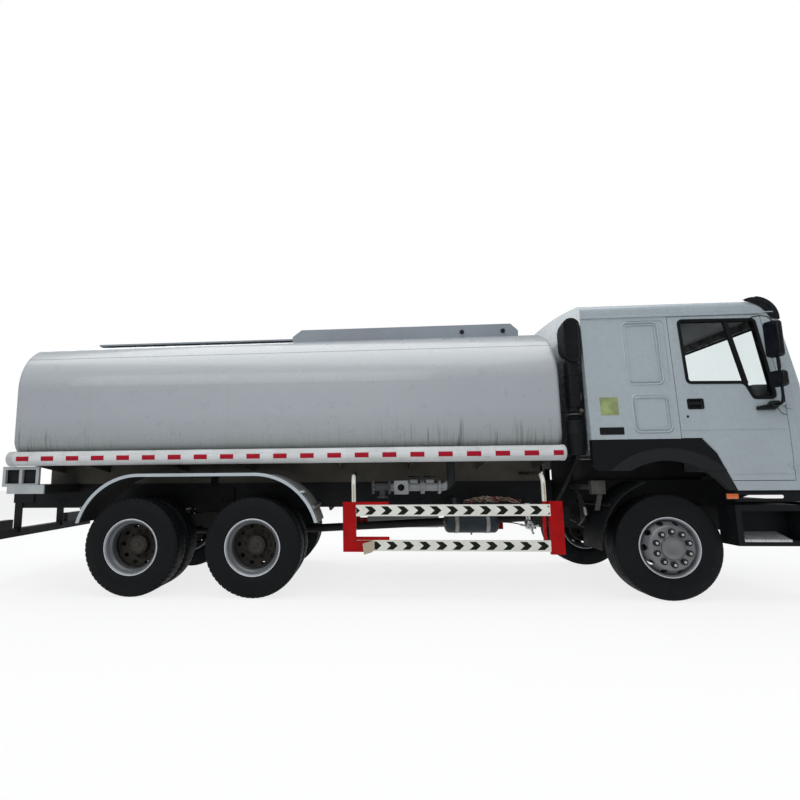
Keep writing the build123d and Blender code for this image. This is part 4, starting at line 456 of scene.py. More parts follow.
def arch_plastic():
    """Moulded black arch panel whose lip round the wheel has a paler grain."""
    t = coated("arch_black", rgb(0.0035, 0.0045, 0.0058), 0.5, mottle=0.15, grain=600, relief=0.35, dust=0.25,
               dust_colour=rgb(0.013, 0.0135, 0.0135), dust_top=1.7, shine=0.14)
    plain = t.linked("Base Color")
    x, z = t.x - FRONT_X, t.z - ARCH_Z
    far = t.length(x, z)
    lip = t.ramp(far, 0.832, 0.818, 0.0, 1.0)
    t.set(Base_Color=t.mix(lip, plain, t.mix(t.noise(30.0, 4.0), rgb(0.01, 0.0115, 0.013), rgb(0.015, 0.017, 0.019))))
    return t


def darkened(t, where, colour=rgb(0.006, 0.0065, 0.007)):
    """Takes a finish down to near black, and rougher, where the mask is 1."""
    plain, rough = t.linked("Base Color"), t.linked("Roughness")
    t.set(Base_Color=t.mix(where, plain, colour), Roughness=t.math("MULTIPLY_ADD", where, 0.45, rough, clamp=True))
    return t


MUD_OUTER, MUD_Z, MUD_R, MUD_X = 1.25, 0.605, 0.72, (-2.52, -1.22)


def mudguard_paint():
    """White rolled lip, dusty ribbed top, and painted shade, near black, on the underside."""
    t = coated("mudguard_white", rgb(0.44, 0.49, 0.52), 0.4, mottle=0.1, grain=130, relief=0.15, dust=0.2, dust_top=1.6,
               shine=0.35)
    x, z = t.x, t.z - MUD_Z
    wide = abs(t.y)
    x = x - t.math("MAXIMUM", t.math("MINIMUM", x, MUD_X[1]), MUD_X[0])
    far = t.length(x, z)
    inboard = wide < MUD_OUTER - 0.0125
    # painted shade: the underside inside the arch
    under = (far < MUD_R - 0.0015) * inboard
    top = (far > MUD_R - 0.0015) * (wide < MUD_OUTER - 0.004)
    lines = t.ramp(t.noise(1.0, 3.0, 0.6, t.stretch((0.6, 60, 0.6))), 0.35, 0.65)
    dusty = t.mix(lines, rgb(0.06, 0.055, 0.046), rgb(0.13, 0.125, 0.11))
    plain = t.linked("Base Color")
    t.set(Base_Color=t.mix(top * 0.85, plain, dusty))
    return darkened(t, under)


def platform_paint():
    """White rack and step whose inner part is black."""
    t = coated("platform_white", rgb(0.42, 0.45, 0.46), 0.42, mottle=0.15, grain=130, relief=0.15, dust=0.3,
               dust_top=1.6, shine=0.35)
    inner = (abs(t.y) < 1.13) * (t.z < 1.2095)
    return darkened(t, inner)


def pipework_paint():
    """Grey pipework taken near black on its riser as painted shade under the tank, and darker at its rear flange."""
    t = coated("pipe_grey", rgb(0.3, 0.315, 0.325), 0.42, metallic=0.2, mottle=0.25, grain=90, relief=0.3, dust=0.5,
               dust_colour=rgb(0.11, 0.105, 0.09), dust_top=1.6, shine=0.35)
    x, z = t.x, t.z
    # painted shade on the riser under the tank; the rear flange is darker too
    riser = t.ramp(z, 1.215, 1.245) | t.ramp(x, 0.895, 0.915)
    rear = t.ramp(x, 0.285, 0.265, 0.0, 0.75)
    return darkened(t, riser | rear, rgb(0.022, 0.025, 0.028))


def rim_paint():
    """Silver rims: bright rolled lip, duller bead seat, and painted shade in the well."""
    t = coated("rim_silver", rgb(0.34, 0.36, 0.39), 0.36, metallic=0.35, mottle=0.2, grain=260, relief=0.15, dust=0.3,
               dust_colour=rgb(0.12, 0.115, 0.1), dust_top=0.9)
    x, z = t.x, t.z - AXLE_Z
    near = None
    for axle in (FRONT_X, MIDDLE_X, REAR_X):
        away = abs(x - axle)
        near = away if near is None else t.math("MINIMUM", near, away)
    far = t.length(near, z)
    plain = t.linked("Base Color")
    # painted shade: the well inside the bead seat is taken darker
    shade = t.mix(t.ramp(far, 0.285, 0.262), plain, rgb(0.125, 0.13, 0.135))
    t.set(Base_Color=t.mix(t.ramp(far, 0.292, 0.298), shade, rgb(0.6, 0.62, 0.64)))
    return t


finish = {
    "arch": arch_plastic(),
    "tank_white": tank_paint(),
    "tube_white": tube_paint(),
    "guard": guard_paint(),
    "cab_white": cab_paint(),
    "lamp_housing": coated("lamp_housing", rgb(0.006, 0.007, 0.008), 0.4, relief=0.1, dust=0.1, shine=0.25),
    "chrome": brushed("lamp_chrome", rgb(0.8, 0.82, 0.84), 0.12, (1, 1, 1), 0.05),
    "nut_bright": brushed("nut_bright", rgb(0.62, 0.63, 0.64), 0.25, (1, 1, 3), 0.2),
    "cable": coated("cable_bundle", rgb(0.3, 0.24, 0.19), 0.6, mottle=0.75, patch=14, grain=200, relief=0.3,
                    dust=0.3),
    "white_steel": coated("white_steel", rgb(0.44, 0.47, 0.49), 0.34, mottle=0.1, grain=130, relief=0.15, dust=0.35,
                          dust_top=1.6),
    # painted shade: the cream cradle is given the dark brown of the shade it lies in under the tank
    "cream": coated("cradle_cream_painted_shade", rgb(0.115, 0.108, 0.088), 0.6, mottle=0.35, grain=90, relief=0.25, dust=0.6,
                    dust_colour=rgb(0.05, 0.045, 0.036), dust_top=1.8, shine=0.25),
    "chassis": coated("chassis_black", rgb(0.005, 0.0062, 0.008), 0.5, mottle=0.3, grain=90, relief=0.3, dust=0.5,
                      dust_colour=rgb(0.022, 0.02, 0.017), dust_top=1.5, shine=0.22),
    "axle": coated("axle_black", rgb(0.007, 0.007, 0.007), 0.6, mottle=0.4, grain=60, relief=0.5, dust=0.75,
                   dust_colour=rgb(0.03, 0.026, 0.021), dust_top=1.2, shine=0.25),
    "plastic": coated("moulded_black", rgb(0.004, 0.005, 0.0062), 0.55, mottle=0.15, grain=700, relief=0.4, dust=0.35,
                      dust_colour=rgb(0.015, 0.015, 0.014), dust_top=1.7, shine=0.16),
    "gloss_black": coated("gloss_black", rgb(0.0045, 0.005, 0.006), 0.26, mottle=0.1, grain=300, relief=0.08,
                          dust=0.15, dust_colour=rgb(0.03, 0.03, 0.03), dust_top=3.0, shine=0.22),
    "wheel_silver": coated("wheel_silver", rgb(0.185, 0.192, 0.2), 0.38, metallic=0.6, mottle=0.12, grain=300,
                           relief=0.2, dust=0.35, dust_colour=rgb(0.1, 0.095, 0.085), dust_top=0.9),
    "rim_silver": rim_paint(),
    "hub_brown": coated("hub_brown", rgb(0.05, 0.047, 0.04), 0.62, metallic=0.2, mottle=0.45, patch=9, grain=110,
                        relief=0.5, dust=0.6, dust_colour=rgb(0.085, 0.075, 0.06), dust_top=1.0, shine=0.3),
    "iron": brushed("bare_iron", rgb(0.34, 0.33, 0.32), 0.42, (1, 1, 6), 0.5),
    "pipe_grey": pipework_paint(),
    "reservoir": coated("reservoir_blue", rgb(0.014, 0.028, 0.036), 0.45, mottle=0.25, grain=90, relief=0.2, dust=0.5,
                        dust_colour=rgb(0.045, 0.046, 0.042), dust_top=1.2, shine=0.3),
    "engine": coated("engine_grey", rgb(0.022, 0.023, 0.025), 0.6, metallic=0.2, mottle=0.45, patch=5, grain=50,
                     relief=0.6, dust=0.6, dust_colour=rgb(0.05, 0.044, 0.035), dust_top=1.6, shine=0.3),
    "cab_grey": coated("cab_lining", rgb(0.16, 0.165, 0.17), 0.72, mottle=0.12, grain=600, relief=0.4, dust=0.1,
                       dust_top=2.2),
    "dash": coated("dash_dark", rgb(0.045, 0.048, 0.052), 0.58, mottle=0.15, grain=800, relief=0.5, dust=0.12,
                   dust_top=2.2),
    "red": coated("guard_red", rgb(0.34, 0.0005, 0.002), 0.42, mottle=0.2, grain=130, relief=0.15, dust=0.04,
                  dust_top=1.1, shine=0.12),
    "glass": window_glass("clear_glass", rgb(0.86, 0.9, 0.9)),
    "tread_plate": tread_plate("step_tread", rgb(0.62, 0.63, 0.64), 0.024),
    "rubber": rubber("tyre_rubber"),
    "seal": rubber("window_rubber", rgb(0.004, 0.0045, 0.005), 0.2),
    "cloth": cloth("seat_cloth", rgb(0.04, 0.042, 0.048)),
    "blanket": cloth("bunk_cloth", rgb(0.14, 0.15, 0.18), 0.0022),
    "amber": lens("amber_lens", rgb(0.8, 0.16, 0.01), 60.0, 0.2),
    "red_lens": lens("red_lens", rgb(0.55, 0.01, 0.012), 60.0, 0.2),
    "clear_lens": lens("clear_lens", rgb(0.86, 0.88, 0.9), 50.0, 0.85),
    "mirror": coated("mirror_glass", rgb(0.004, 0.006, 0.01), 0.06, mottle=0.1, grain=30, relief=0.02, dust=0.1,
                     dust_top=3.0, shine=0.5),
    "mud_guard": mudguard_paint(),
    "tube_plain": coated("carrier_cap_white", rgb(0.5, 0.515, 0.52), 0.45, mottle=0.2, grain=130, relief=0.15,
                         dust=0.3,
                         dust_colour=rgb(0.22, 0.22, 0.19), dust_top=2.2, shine=0.3),
    "platform": platform_paint(),
    "comb_grey": coated("comb_grey", rgb(0.045, 0.05, 0.052), 0.5, mottle=0.3, patch=6, grain=300, relief=0.2,
                        dust=0.3,
                        dust_colour=rgb(0.08, 0.08, 0.07), dust_top=3.2, shine=0.3),
    "dark_pipe": coated("dark_pipe", rgb(0.012, 0.012, 0.012), 0.45, mottle=0.3, grain=120, relief=0.2, dust=0.4,
                        dust_colour=rgb(0.05, 0.045, 0.04), shine=0.4),
    "top_steel": coated("top_steel", rgb(0.25, 0.28, 0.315), 0.42, mottle=0.15, grain=130, relief=0.15, dust=0.3,
                        dust_colour=rgb(0.16, 0.16, 0.14), dust_top=3.3, shine=0.35),
    "blank_label": coated("blank_label", rgb(0.3, 0.36, 0.14), 0.4, mottle=0.45, patch=9, grain=240, relief=0.1,
                          dust=0.3,
                          dust_colour=rgb(0.42, 0.45, 0.4), dust_top=3.0),
    "bracket_grey": coated("bracket_grey", rgb(0.07, 0.068, 0.06), 0.55, mottle=0.4, patch=8, grain=90, relief=0.3,
                           dust=0.5, dust_colour=rgb(0.12, 0.11, 0.09), shine=0.3),
    "line_red": coated("line_red", rgb(0.16, 0.02, 0.015), 0.5, mottle=0.5, patch=12, relief=0.2, dust=0.4),
    "line_cream": coated("line_cream", rgb(0.52, 0.4, 0.3), 0.55, mottle=0.5, patch=12, relief=0.2, dust=0.4),
}
finish = {key: tree.material for key, tree in finish.items()}

# ------------------------------------------------------------------ modelling helpers


def clear():
    """Leaves edit mode and selects nothing."""
    if bpy.context.object and bpy.context.object.mode != "OBJECT":
        bpy.ops.object.mode_set(mode="OBJECT")
    bpy.ops.object.select_all(action="DESELECT")


def only(piece):
    clear()
    piece.select_set(True)
    bpy.context.view_layer.objects.active = piece


def settle(piece):
    """Puts a piece's place, turn and size into its mesh."""
    only(piece)
    bpy.ops.object.transform_apply(location=True, rotation=True, scale=True)
    return piece


def edit(piece):
    only(piece)
    bpy.ops.object.mode_set(mode="EDIT")
    bpy.ops.mesh.select_mode(type="FACE")
    return bmesh.from_edit_mesh(piece.data)


def pick(piece, test):
    """In edit mode, selects the faces whose middle and normal pass the test."""
    mesh = bmesh.from_edit_mesh(piece.data)
    for face in mesh.faces:
        face.select_set(False)
    for face in mesh.faces:
        if test(face.calc_center_median(), face.normal):
            face.select_set(True)
    bmesh.update_edit_mesh(piece.data)


def modify(piece, kind, **settings):
    """Adds a modifier and applies it."""
    only(piece)
    modifier = piece.modifiers.new(kind.lower(), kind)
    for key, value in settings.items():
        setattr(modifier, key, value)
    bpy.ops.object.modifier_apply(modifier=modifier.name)
    return piece


def rounded(piece, width, steps=2, angle=35):
    """Takes the sharpness off a piece's edges."""
    return modify(piece, "BEVEL", width=width, segments=steps, limit_method="ANGLE", angle_limit=radians(angle),
                  use_clamp_overlap=True)


def outward(piece):
    """Merges doubles and turns every face outwards."""
    edit(piece)
    bpy.ops.mesh.select_all(action="SELECT")
    bpy.ops.mesh.remove_doubles(threshold=0.00002)
    bpy.ops.mesh.normals_make_consistent(inside=False)
    clear()
    return piece


def block(name, low, high, round_by=0.004, steps=2):
    """A block between two corners with its edges taken off."""
    clear()
    low, high = Vector(low), Vector(high)
    bpy.ops.mesh.primitive_cube_add(size=1, location=(low + high) / 2, scale=high - low)
    piece = bpy.context.object
    piece.name = name
    settle(piece)
    if round_by:
        rounded(piece, round_by, steps)
    return piece


TIP = 0.001  # radius that stands for a point on the axis


def turned(name, rings, centre, axis, sides=48, closed=False):
    """A piece turned on a lathe: a circle drawn out through (distance along the axis, radius) rings."""
    clear()
    axis = Vector(axis).normalized()
    centre = Vector(centre)
    turn = axis.to_track_quat("Z", "Y").to_euler()
    along, radius = rings[0]
    bpy.ops.mesh.primitive_circle_add(vertices=sides, radius=radius, location=centre + axis * along, rotation=turn)
    piece = bpy.context.object
    piece.name = name
    settle(piece)
    only(piece)
    bpy.ops.object.mode_set(mode="EDIT")
    bpy.ops.mesh.select_mode(type="VERT")
    bpy.ops.mesh.select_all(action="SELECT")
    for next_along, next_radius in rings[1:]:
        bpy.ops.mesh.extrude_region_move(TRANSFORM_OT_translate={"value": axis * (next_along - along)})
        grow = next_radius / radius
        bpy.ops.transform.resize(value=(grow, grow, grow), center_override=centre + axis * next_along)
        along, radius = next_along, next_radius
    if closed:
        bpy.ops.mesh.select_all(action="DESELECT")
        bpy.ops.mesh.select_mode(type="EDGE")
        bpy.ops.mesh.select_non_manifold()
        bpy.ops.mesh.bridge_edge_loops()
    else:
        mesh = bmesh.from_edit_mesh(piece.data)
        bmesh.ops.holes_fill(mesh, edges=[e for e in mesh.edges if e.is_boundary], sides=0)
        bmesh.update_edit_mesh(piece.data)
    bpy.ops.mesh.select_all(action="SELECT")
    bpy.ops.mesh.normals_make_consistent(inside=False)
    clear()
    return piece


def knob(name, rings, centre, axis, sides=48):
    """A solid turned piece: the rings with an end at the axis on both sides."""
    return turned(name, [(rings[0][0], TIP), *rings, (rings[-1][0], TIP)], centre, axis, sides)


def shifted(start, rings, way=1):
    """Rings whose distances along the axis count from a start."""
    return [(start + way * along, radius) for along, radius in rings]


def drawn(name, spots, fill, mode=None):
    """Starts a piece as a polygon through points. Stays in edit mode with all of it selected."""
    clear()
    bpy.ops.mesh.primitive_circle_add(vertices=len(spots), radius=1, fill_type=fill)
    piece = bpy.context.object
    piece.name = name
    bpy.ops.object.mode_set(mode="EDIT")
    if mode:
        bpy.ops.mesh.select_mode(type=mode)
    mesh = bmesh.from_edit_mesh(piece.data)
    mesh.verts.ensure_lookup_table()
    for vertex, spot in zip(mesh.verts, spots):
        vertex.co = spot
    bmesh.update_edit_mesh(piece.data)
    bpy.ops.mesh.select_all(action="SELECT")
    return piece


def drawn_on(piece, here, onward):
    """In edit mode, extrudes from one outline to another with as many points."""
    bpy.ops.mesh.extrude_region_move()
    mesh = bmesh.from_edit_mesh(piece.data)
    for vertex in [v for v in mesh.verts if v.select]:
        nearest = min(range(len(here)), key=lambda i: (vertex.co - here[i]).length_squared)
        vertex.co = onward[nearest]
    bmesh.update_edit_mesh(piece.data)


def sheet_of(name, outline, place, thick):
    """A plate cut to an outline of (u, v); place(u, v) gives its point, thick is how far it is drawn out."""
    piece = drawn(name, [place(u, v) for u, v in outline], "NGON")
    bpy.ops.mesh.extrude_region_move(TRANSFORM_OT_translate={"value": thick})
    clear()
    return outward(piece)


def pipe(name, points, radius, sides=4, smooth=True):
    """A bent tube through points."""
    clear()
    curve = bpy.data.curves.new(name, "CURVE")
    curve.dimensions = "3D"
    spline = curve.splines.new("NURBS" if smooth else "POLY")
    spline.points.add(len(points) - 1)
    for point, place in zip(spline.points, points):
        point.co = (*place, 1)
    if smooth:
        spline.order_u = 3
        spline.use_endpoint_u = True
        spline.resolution_u = 8
    curve.bevel_depth = radius
    curve.bevel_resolution = sides
    curve.use_fill_caps = True
    piece = bpy.data.objects.new(name, curve)
    scene.collection.objects.link(piece)
    only(piece)
    bpy.ops.object.convert(target="MESH")
    return bpy.context.object


def across(side, points):
    """The same points on one side of the truck."""
    return [(x, side * y, z) for x, y, z in points]


def copy_of(piece, name, move=(0, 0, 0), turn=None, about=(0, 0, 0)):
    """A copy with its own mesh, moved, or turned about a point."""
    twin = piece.copy()
    twin.data = piece.data.copy()
    twin.name = name
    scene.collection.objects.link(twin)
    if turn is not None:
        angle, axis = turn
        centre = Matrix.Translation(Vector(about))
        twin.data.transform(centre @ Matrix.Rotation(angle, 4, axis) @ centre.inverted())
    twin.data.transform(Matrix.Translation(Vector(move)))
    return twin


def joined(name, pieces):
    clear()
    for piece in pieces:
        piece.select_set(True)
    bpy.context.view_layer.objects.active = pieces[0]
    bpy.ops.object.join()
    pieces[0].name = name
    return pieces[0]


def cut(piece, cutter):
    """Cuts one closed piece out of another."""
    modify(piece, "BOOLEAN", operation="DIFFERENCE", solver="EXACT", object=cutter)
    bpy.data.objects.remove(cutter)
    return piece


def fit(piece, body, look, *stands_for, smooth=38):
    """Paints a piece and hangs it on its body."""
    only(piece)
    piece.data.materials.clear()
    piece.data.materials.append(finish[look])
    if smooth:
        bpy.ops.object.shade_smooth_by_angle(angle=radians(smooth))
    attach(piece, body)
    if stands_for:
        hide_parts(*stands_for)
    return piece


def paint_node(name, look):
    """Gives a carried-over node its finish."""
    node = nodes[name]
    node.data.materials.clear()
    node.data.materials.append(finish[look])


for names, look in (
    ("tank", "tank_white"), ("hose_tubes", "tube_white"), ("side_guards", "guard"),
    ("cab_sides cab_front cab_back cab_roof door_left door_right", "cab_white"),
    ("tank_cradle", "cream"),
    ("front_axle rear_axles rear_springs knuckle_left knuckle_right prop_shafts", "axle"),
    ("frame underrun_bar", "chassis"),
    ("cab_mudguards front_bumper air_intake sun_visor mirror_left mirror_right grille", "plastic"),
    ("arch_panels", "arch"),
    ("manhole_neck manhole_lid", "white_steel"), ("mudguards", "mud_guard"), ("rear_platform", "platform"),
    ("catwalk", "top_steel"),
    ("pipework", "pipe_grey"), ("air_tanks", "reservoir"), ("fuel_tank", "wheel_silver"), ("exhaust", "iron"),
    ("engine", "engine"), ("cab_floor seats bunk", "cab_grey"), ("dashboard steering_wheel", "dash"),
    ("windscreen door_glass_left door_glass_right", "glass"),
    ("headlamps", "clear_lens"), ("tail_lamps", "lamp_housing"),
    ("wheel_front_left wheel_front_right", "wheel_silver"),
    ("wheels_middle_left wheels_middle_right wheels_rear_left wheels_rear_right", "rim_silver"),
    ("tyre_front_left tyre_front_right tyres_middle_left tyres_middle_right tyres_rear_left tyres_rear_right",
     "rubber"),
):
    for name in names.split():
        paint_node(name, look)

# ------------------------------------------------------------------ tyres

FRONT_Y, OUTER_Y, INNER_Y, FACE_Y = 1.011, 1.1, 0.75, 0.925
LUGS = 58


def tyre_blank(name, ribs, lug_depth):
    """A tyre on the Y axis: beads, bowed sidewalls with raised bands, and a tread of ribs and shoulder lugs."""
    half = [(0.1175, 0.283), (0.118, 0.29), (0.128, 0.296), (0.132, 0.302), (0.1325, 0.31), (0.1375, 0.316),
            (0.144, 0.348), (0.146, 0.35), (0.149, 0.38), (0.1495, 0.405), (0.148, 0.435), (0.1455, 0.438),
            (0.14, 0.47), (0.1345, 0.493), (0.129, 0.509), (0.12, 0.523), (0.108, 0.5285)]
    tread = []
    for middle, width in ribs:
        tread += [(middle + width, 0.5305), (middle + width - 0.002, 0.518), (middle - width + 0.002, 0.518),
                  (middle - width, 0.531)]
    tread = half + tread
    ring = [(-y, r) for y, r in tread] + [(y, r) for y, r in reversed(tread)]
    piece = turned(name, ring, (0, 0, 0), (0, 1, 0), 2 * LUGS, closed=True)
    # every other strip is narrow: the slots between the lugs
    mesh = edit(piece)
    step = pi / LUGS
    for vertex in mesh.verts:
        angle = atan2(vertex.co.z, vertex.co.x)
        slot = round(angle / step)
        if slot % 2:
            radius = hypot(vertex.co.x, vertex.co.z)
            angle = (slot - 0.52) * step
            vertex.co.x, vertex.co.z = radius * cos(angle), radius * sin(angle)
    bmesh.update_edit_mesh(piece.data)

    def slots(middle, normal):
        radius = hypot(middle.x, middle.z)
        turn = (atan2(middle.z, middle.x) / step) % 2
        shoulder = radius > 0.5 and abs(middle.y) > ribs[0][0] + 0.006
        return shoulder and turn < 0.48 and (radius > 0.508 or abs(normal.y) > 0.3)

    pick(piece, slots)
    bpy.ops.mesh.extrude_region_shrink_fatten(TRANSFORM_OT_shrink_fatten={"value": -lug_depth})
    bpy.ops.mesh.select_all(action="SELECT")
    clear()
    return piece


steer_tyre = tyre_blank("steer_tyre", ((0.074, 0.005), (0.026, 0.005)), 0.0015)
drive_tyre = tyre_blank("drive_tyre", ((0.066, 0.006), (0.022, 0.005)), 0.0065)
for side, name in SIDES:
    tyre = copy_of(steer_tyre, f"steer_tyre_{name}", (FRONT_X, side * FRONT_Y, AXLE_Z))
    fit(tyre, f"front_wheel_{name}", "rubber", f"tyre_front_{name}", smooth=30)
    for axle, x in (("middle", MIDDLE_X), ("rear", REAR_X)):
        pair = [copy_of(drive_tyre, f"drive_{place}", (x, side * y, AXLE_Z), (turn, "Y"))
                for place, y, turn in (("outer", OUTER_Y, 0.0), ("inner", INNER_Y, 0.3))]
        pair = joined(f"drive_tyres_{axle}_{name}", pair)
        fit(pair, f"{axle}_wheels_{name}", "rubber", f"tyres_{axle}_{name}", smooth=30)
for spare in (steer_tyre, drive_tyre):
    bpy.data.objects.remove(spare)

# ------------------------------------------------------------------ wheels


def hex_nut(name, radius, height, centre, axis):
    """A wheel nut with its collar and rounded end."""
    nut = turned(name, [(0, radius * 1.25), (height * 0.16, radius * 1.25), (height * 0.2, radius)], centre, axis, 18)
    body = turned(name + "_body", [(height * 0.15, radius), (height * 0.9, radius), (height, radius * 0.8)],
                  centre, axis, 6)
    stud = turned(name + "_stud", [(height * 0.9, radius * 0.5), (height * 1.3, radius * 0.5),
                                   (height * 1.38, radius * 0.4)], centre, axis, 12)
    return joined(name, [nut, body, stud])


def ring_of(piece, count, centre, name, start=0.0):
    """Copies of one piece round the Y axis through a centre."""
    copies = [copy_of(piece, f"{name}_{i}", (0, 0, 0), (start + 2 * pi * i / count, "Y"), centre) for i in range(count)]
    bpy.data.objects.remove(piece)
    return joined(name, copies)


def hole_cutter(centre, radius, count, low_y, high_y, wide=0.017, tall=0.029):
    """A ring of oval rods that cut the hand holes."""
    clear()
    bpy.ops.mesh.primitive_cylinder_add(vertices=20, radius=1, depth=high_y - low_y,
                                        location=(centre[0], (low_y + high_y) / 2, centre[2] + radius),
                                        rotation=(pi / 2, 0, 0), scale=(tall, wide, 1))
    rod = settle(bpy.context.object)
    return ring_of(rod, count, centre, "hand_hole_rods", pi / count)


def rim_rings(y):
    """Rim section about its middle: rolled lips, bead seats and a drop centre."""
    inner = [(0.134, 0.3045), (0.139, 0.302), (0.14, 0.2975), (0.136, 0.29), (0.128, 0.2825), (0.116, 0.2765),
             (0.074, 0.27), (0.066, 0.264), (0.058, 0.25), (0.048, 0.2445), (0.036, 0.2425)]
    outer = [(0.04, 0.25), (0.062, 0.276), (0.1165, 0.2825), (0.119, 0.29), (0.128, 0.2975), (0.131, 0.304)]
    half = [(y + along, radius) for along, radius in inner]
    rest = [(y + along, radius) for along, radius in outer]
    mirror = [(2 * y - along, radius) for along, radius in half], [(2 * y - along, radius) for along, radius in rest]
    return half + mirror[0][::-1] + mirror[1][::-1] + rest


# section of a driven wheel's disc; the inner wheel has it turned round
DISC = ((0.0, 0.097), (0.014, 0.097), (0.014, 0.172), (0.022, 0.19), (0.052, 0.214), (0.098, 0.2385), (0.112, 0.24),
        (0.098, 0.24), (0.084, 0.238), (0.04, 0.214), (0.01, 0.192), (0.0, 0.176))
for side, name in SIDES:
    body = f"front_wheel_{name}"
    centre = Vector((FRONT_X, 0, AXLE_Z))
    out = Vector((0, side, 0))
    y = FRONT_Y
    rim = turned(f"steer_rim_{name}", rim_rings(y), centre, out, 72, closed=True)
    disc = turned("disc", shifted(y, [(0.058, 0.269), (0.072, 0.2722), (0.098, 0.266), (0.132, 0.249), (0.158, 0.23),
                                      (0.171, 0.221), (0.178, 0.212), (0.179, 0.133), (0.182, 0.129), (0.188, 0.125),
                                      (0.188, 0.119), (0.184, 0.116), (0.172, 0.116), (0.168, 0.125), (0.166, 0.207),
                                      (0.15, 0.222), (0.124, 0.241), (0.094, 0.257), (0.072, 0.262), (0.058, 0.262)]),
                  centre, out, 80, closed=True)
    far, near = sorted((side * (y + 0.02), side * (y + 0.2)))
    cut(disc, hole_cutter(centre, 0.247, 10, far, near, 0.018, 0.033))
    rounded(disc, 0.0015, 2, 50)
    cap = turned("hub_cap", shifted(y, [(0.16, 0.1145), (0.187, 0.1145), (0.192, 0.111), (0.1935, 0.0985),
                                        (0.195, 0.093), (0.1955, 0.056), (0.1935, 0.051), (0.1935, 0.001)]), centre,
                 out, 60)
    face = [disc, cap]
    collars = ring_of(knob("collar", [(-0.012, 0.031), (0.009, 0.031), (0.012, 0.0285)],
                           (FRONT_X, side * (y + 0.1865), AXLE_Z + 0.1655), out, 20), 10, centre,
                      f"steer_collars_{name}")
    nuts = ring_of(hex_nut("nut", 0.0145, 0.026, (FRONT_X, side * (y + 0.183), AXLE_Z + 0.1655), out), 10,
                   centre, f"steer_nuts_{name}")
    hub_bolts = ring_of(hex_nut("hub_bolt", 0.0055, 0.004, (FRONT_X, side * (y + 0.1925), AXLE_Z + 0.104), out), 8,
                        centre, f"steer_hub_bolts_{name}")
    fit(collars, body, "gloss_black")
    fit(hub_bolts, body, "wheel_silver")
    hub = turned(f"steer_drum_{name}", shifted(y, [(-0.12, 0.19), (-0.12, 0.205), (-0.01, 0.205), (0.01, 0.214),
                                                   (0.034, 0.214), (0.04, 0.11), (0.16, 0.098), (0.16, 0.05),
                                                   (-0.002, 0.05), (-0.002, 0.08), (0.018, 0.085), (0.018, 0.19)]),
                 centre, out, 48, closed=True)
    face = joined(f"steer_disc_{name}", face)
    fit(rim, body, "rim_silver", f"wheel_front_{name}")
    fit(face, body, "wheel_silver", f"wheel_front_{name}")
    fit(nuts, body, "nut_bright")
    fit(hub, body, "hub_brown", f"wheel_front_{name}")
    # tyre valve
    valve = pipe(f"steer_valve_{name}", across(side,
                                               [(FRONT_X + 0.245, y + 0.09, AXLE_Z + 0.08),
                                                (FRONT_X + 0.232, y + 0.13, AXLE_Z + 0.08),
                                                (FRONT_X + 0.222, y + 0.168, AXLE_Z + 0.078)]), 0.004)
    fit(valve, body, "iron")

    for axle, x in (("middle", MIDDLE_X), ("rear", REAR_X)):
        body = f"{axle}_wheels_{name}"
        centre = Vector((x, 0, AXLE_Z))
        rims = joined(f"drive_rims_{axle}_{name}",
                      [turned("outer", rim_rings(OUTER_Y), centre, out, 72, closed=True),
                       turned("inner", rim_rings(INNER_Y), centre, out, 72, closed=True)])
        f = FACE_Y
        discs = [turned("disc", shifted(f, DISC, way), centre, out, 80, closed=True) for way in (1, -1)]
        far, near = sorted((side * (f - 0.2), side * (f + 0.2)))
        for disc in discs:
            cut(disc, hole_cutter(centre, 0.206, 10, far, near, 0.0155, 0.026))
        hub = turned("hub", shifted(f, [(-0.15, 0.052), (-0.15, 0.084), (-0.04, 0.084), (-0.036, 0.19), (-0.285, 0.19),
                                        (-0.285, 0.205), (-0.022, 0.205), (-0.018, 0.112), (0.016, 0.112),
                                        (0.02, 0.104), (0.105, 0.096), (0.11, 0.104), (0.126, 0.104), (0.13, 0.098),
                                        (0.136, 0.08), (0.14, 0.076), (0.14, 0.03), (0.15, 0.028), (0.15, 0.002),
                                        (0.09, 0.002), (0.09, 0.052)]), centre, out, 60, closed=True)
        studs = ring_of(hex_nut("hub_bolt", 0.009, 0.012, (x, side * (f + 0.126), AXLE_Z + 0.09), out), 10,
                        centre, "hub_bolts")
        wheel_nuts = ring_of(hex_nut("wheel_nut", 0.0165, 0.03, (x, side * (f + 0.014), AXLE_Z + 0.142), out), 10,
                             centre, "wheel_nuts", pi / 10)
        dish = joined(f"drive_discs_{axle}_{name}", [*discs, hub, studs, wheel_nuts])
        fit(rims, body, "rim_silver", f"wheels_{axle}_{name}")
        fit(dish, body, "hub_brown", f"wheels_{axle}_{name}")

# ------------------------------------------------------------------ more modelling helpers


def grown(corners, distance):
    """The same corners moved out, or in, square to the sides they join."""
    points = [Vector(corner) for corner in corners]
    count = len(points)
    area = sum(points[i - 1].x * points[i].y - points[i].x * points[i - 1].y for i in range(count))
    way = 1 if area > 0 else -1
    moved = []
    for i, here in enumerate(points):
        before, after = (here - points[i - 1]).normalized(), (points[(i + 1) % count] - here).normalized()
        first, second = Vector((before.y, -before.x)) * way, Vector((after.y, -after.x)) * way
        moved.append(here + (first + second) / (1 + first.dot(second)) * distance)
    return moved


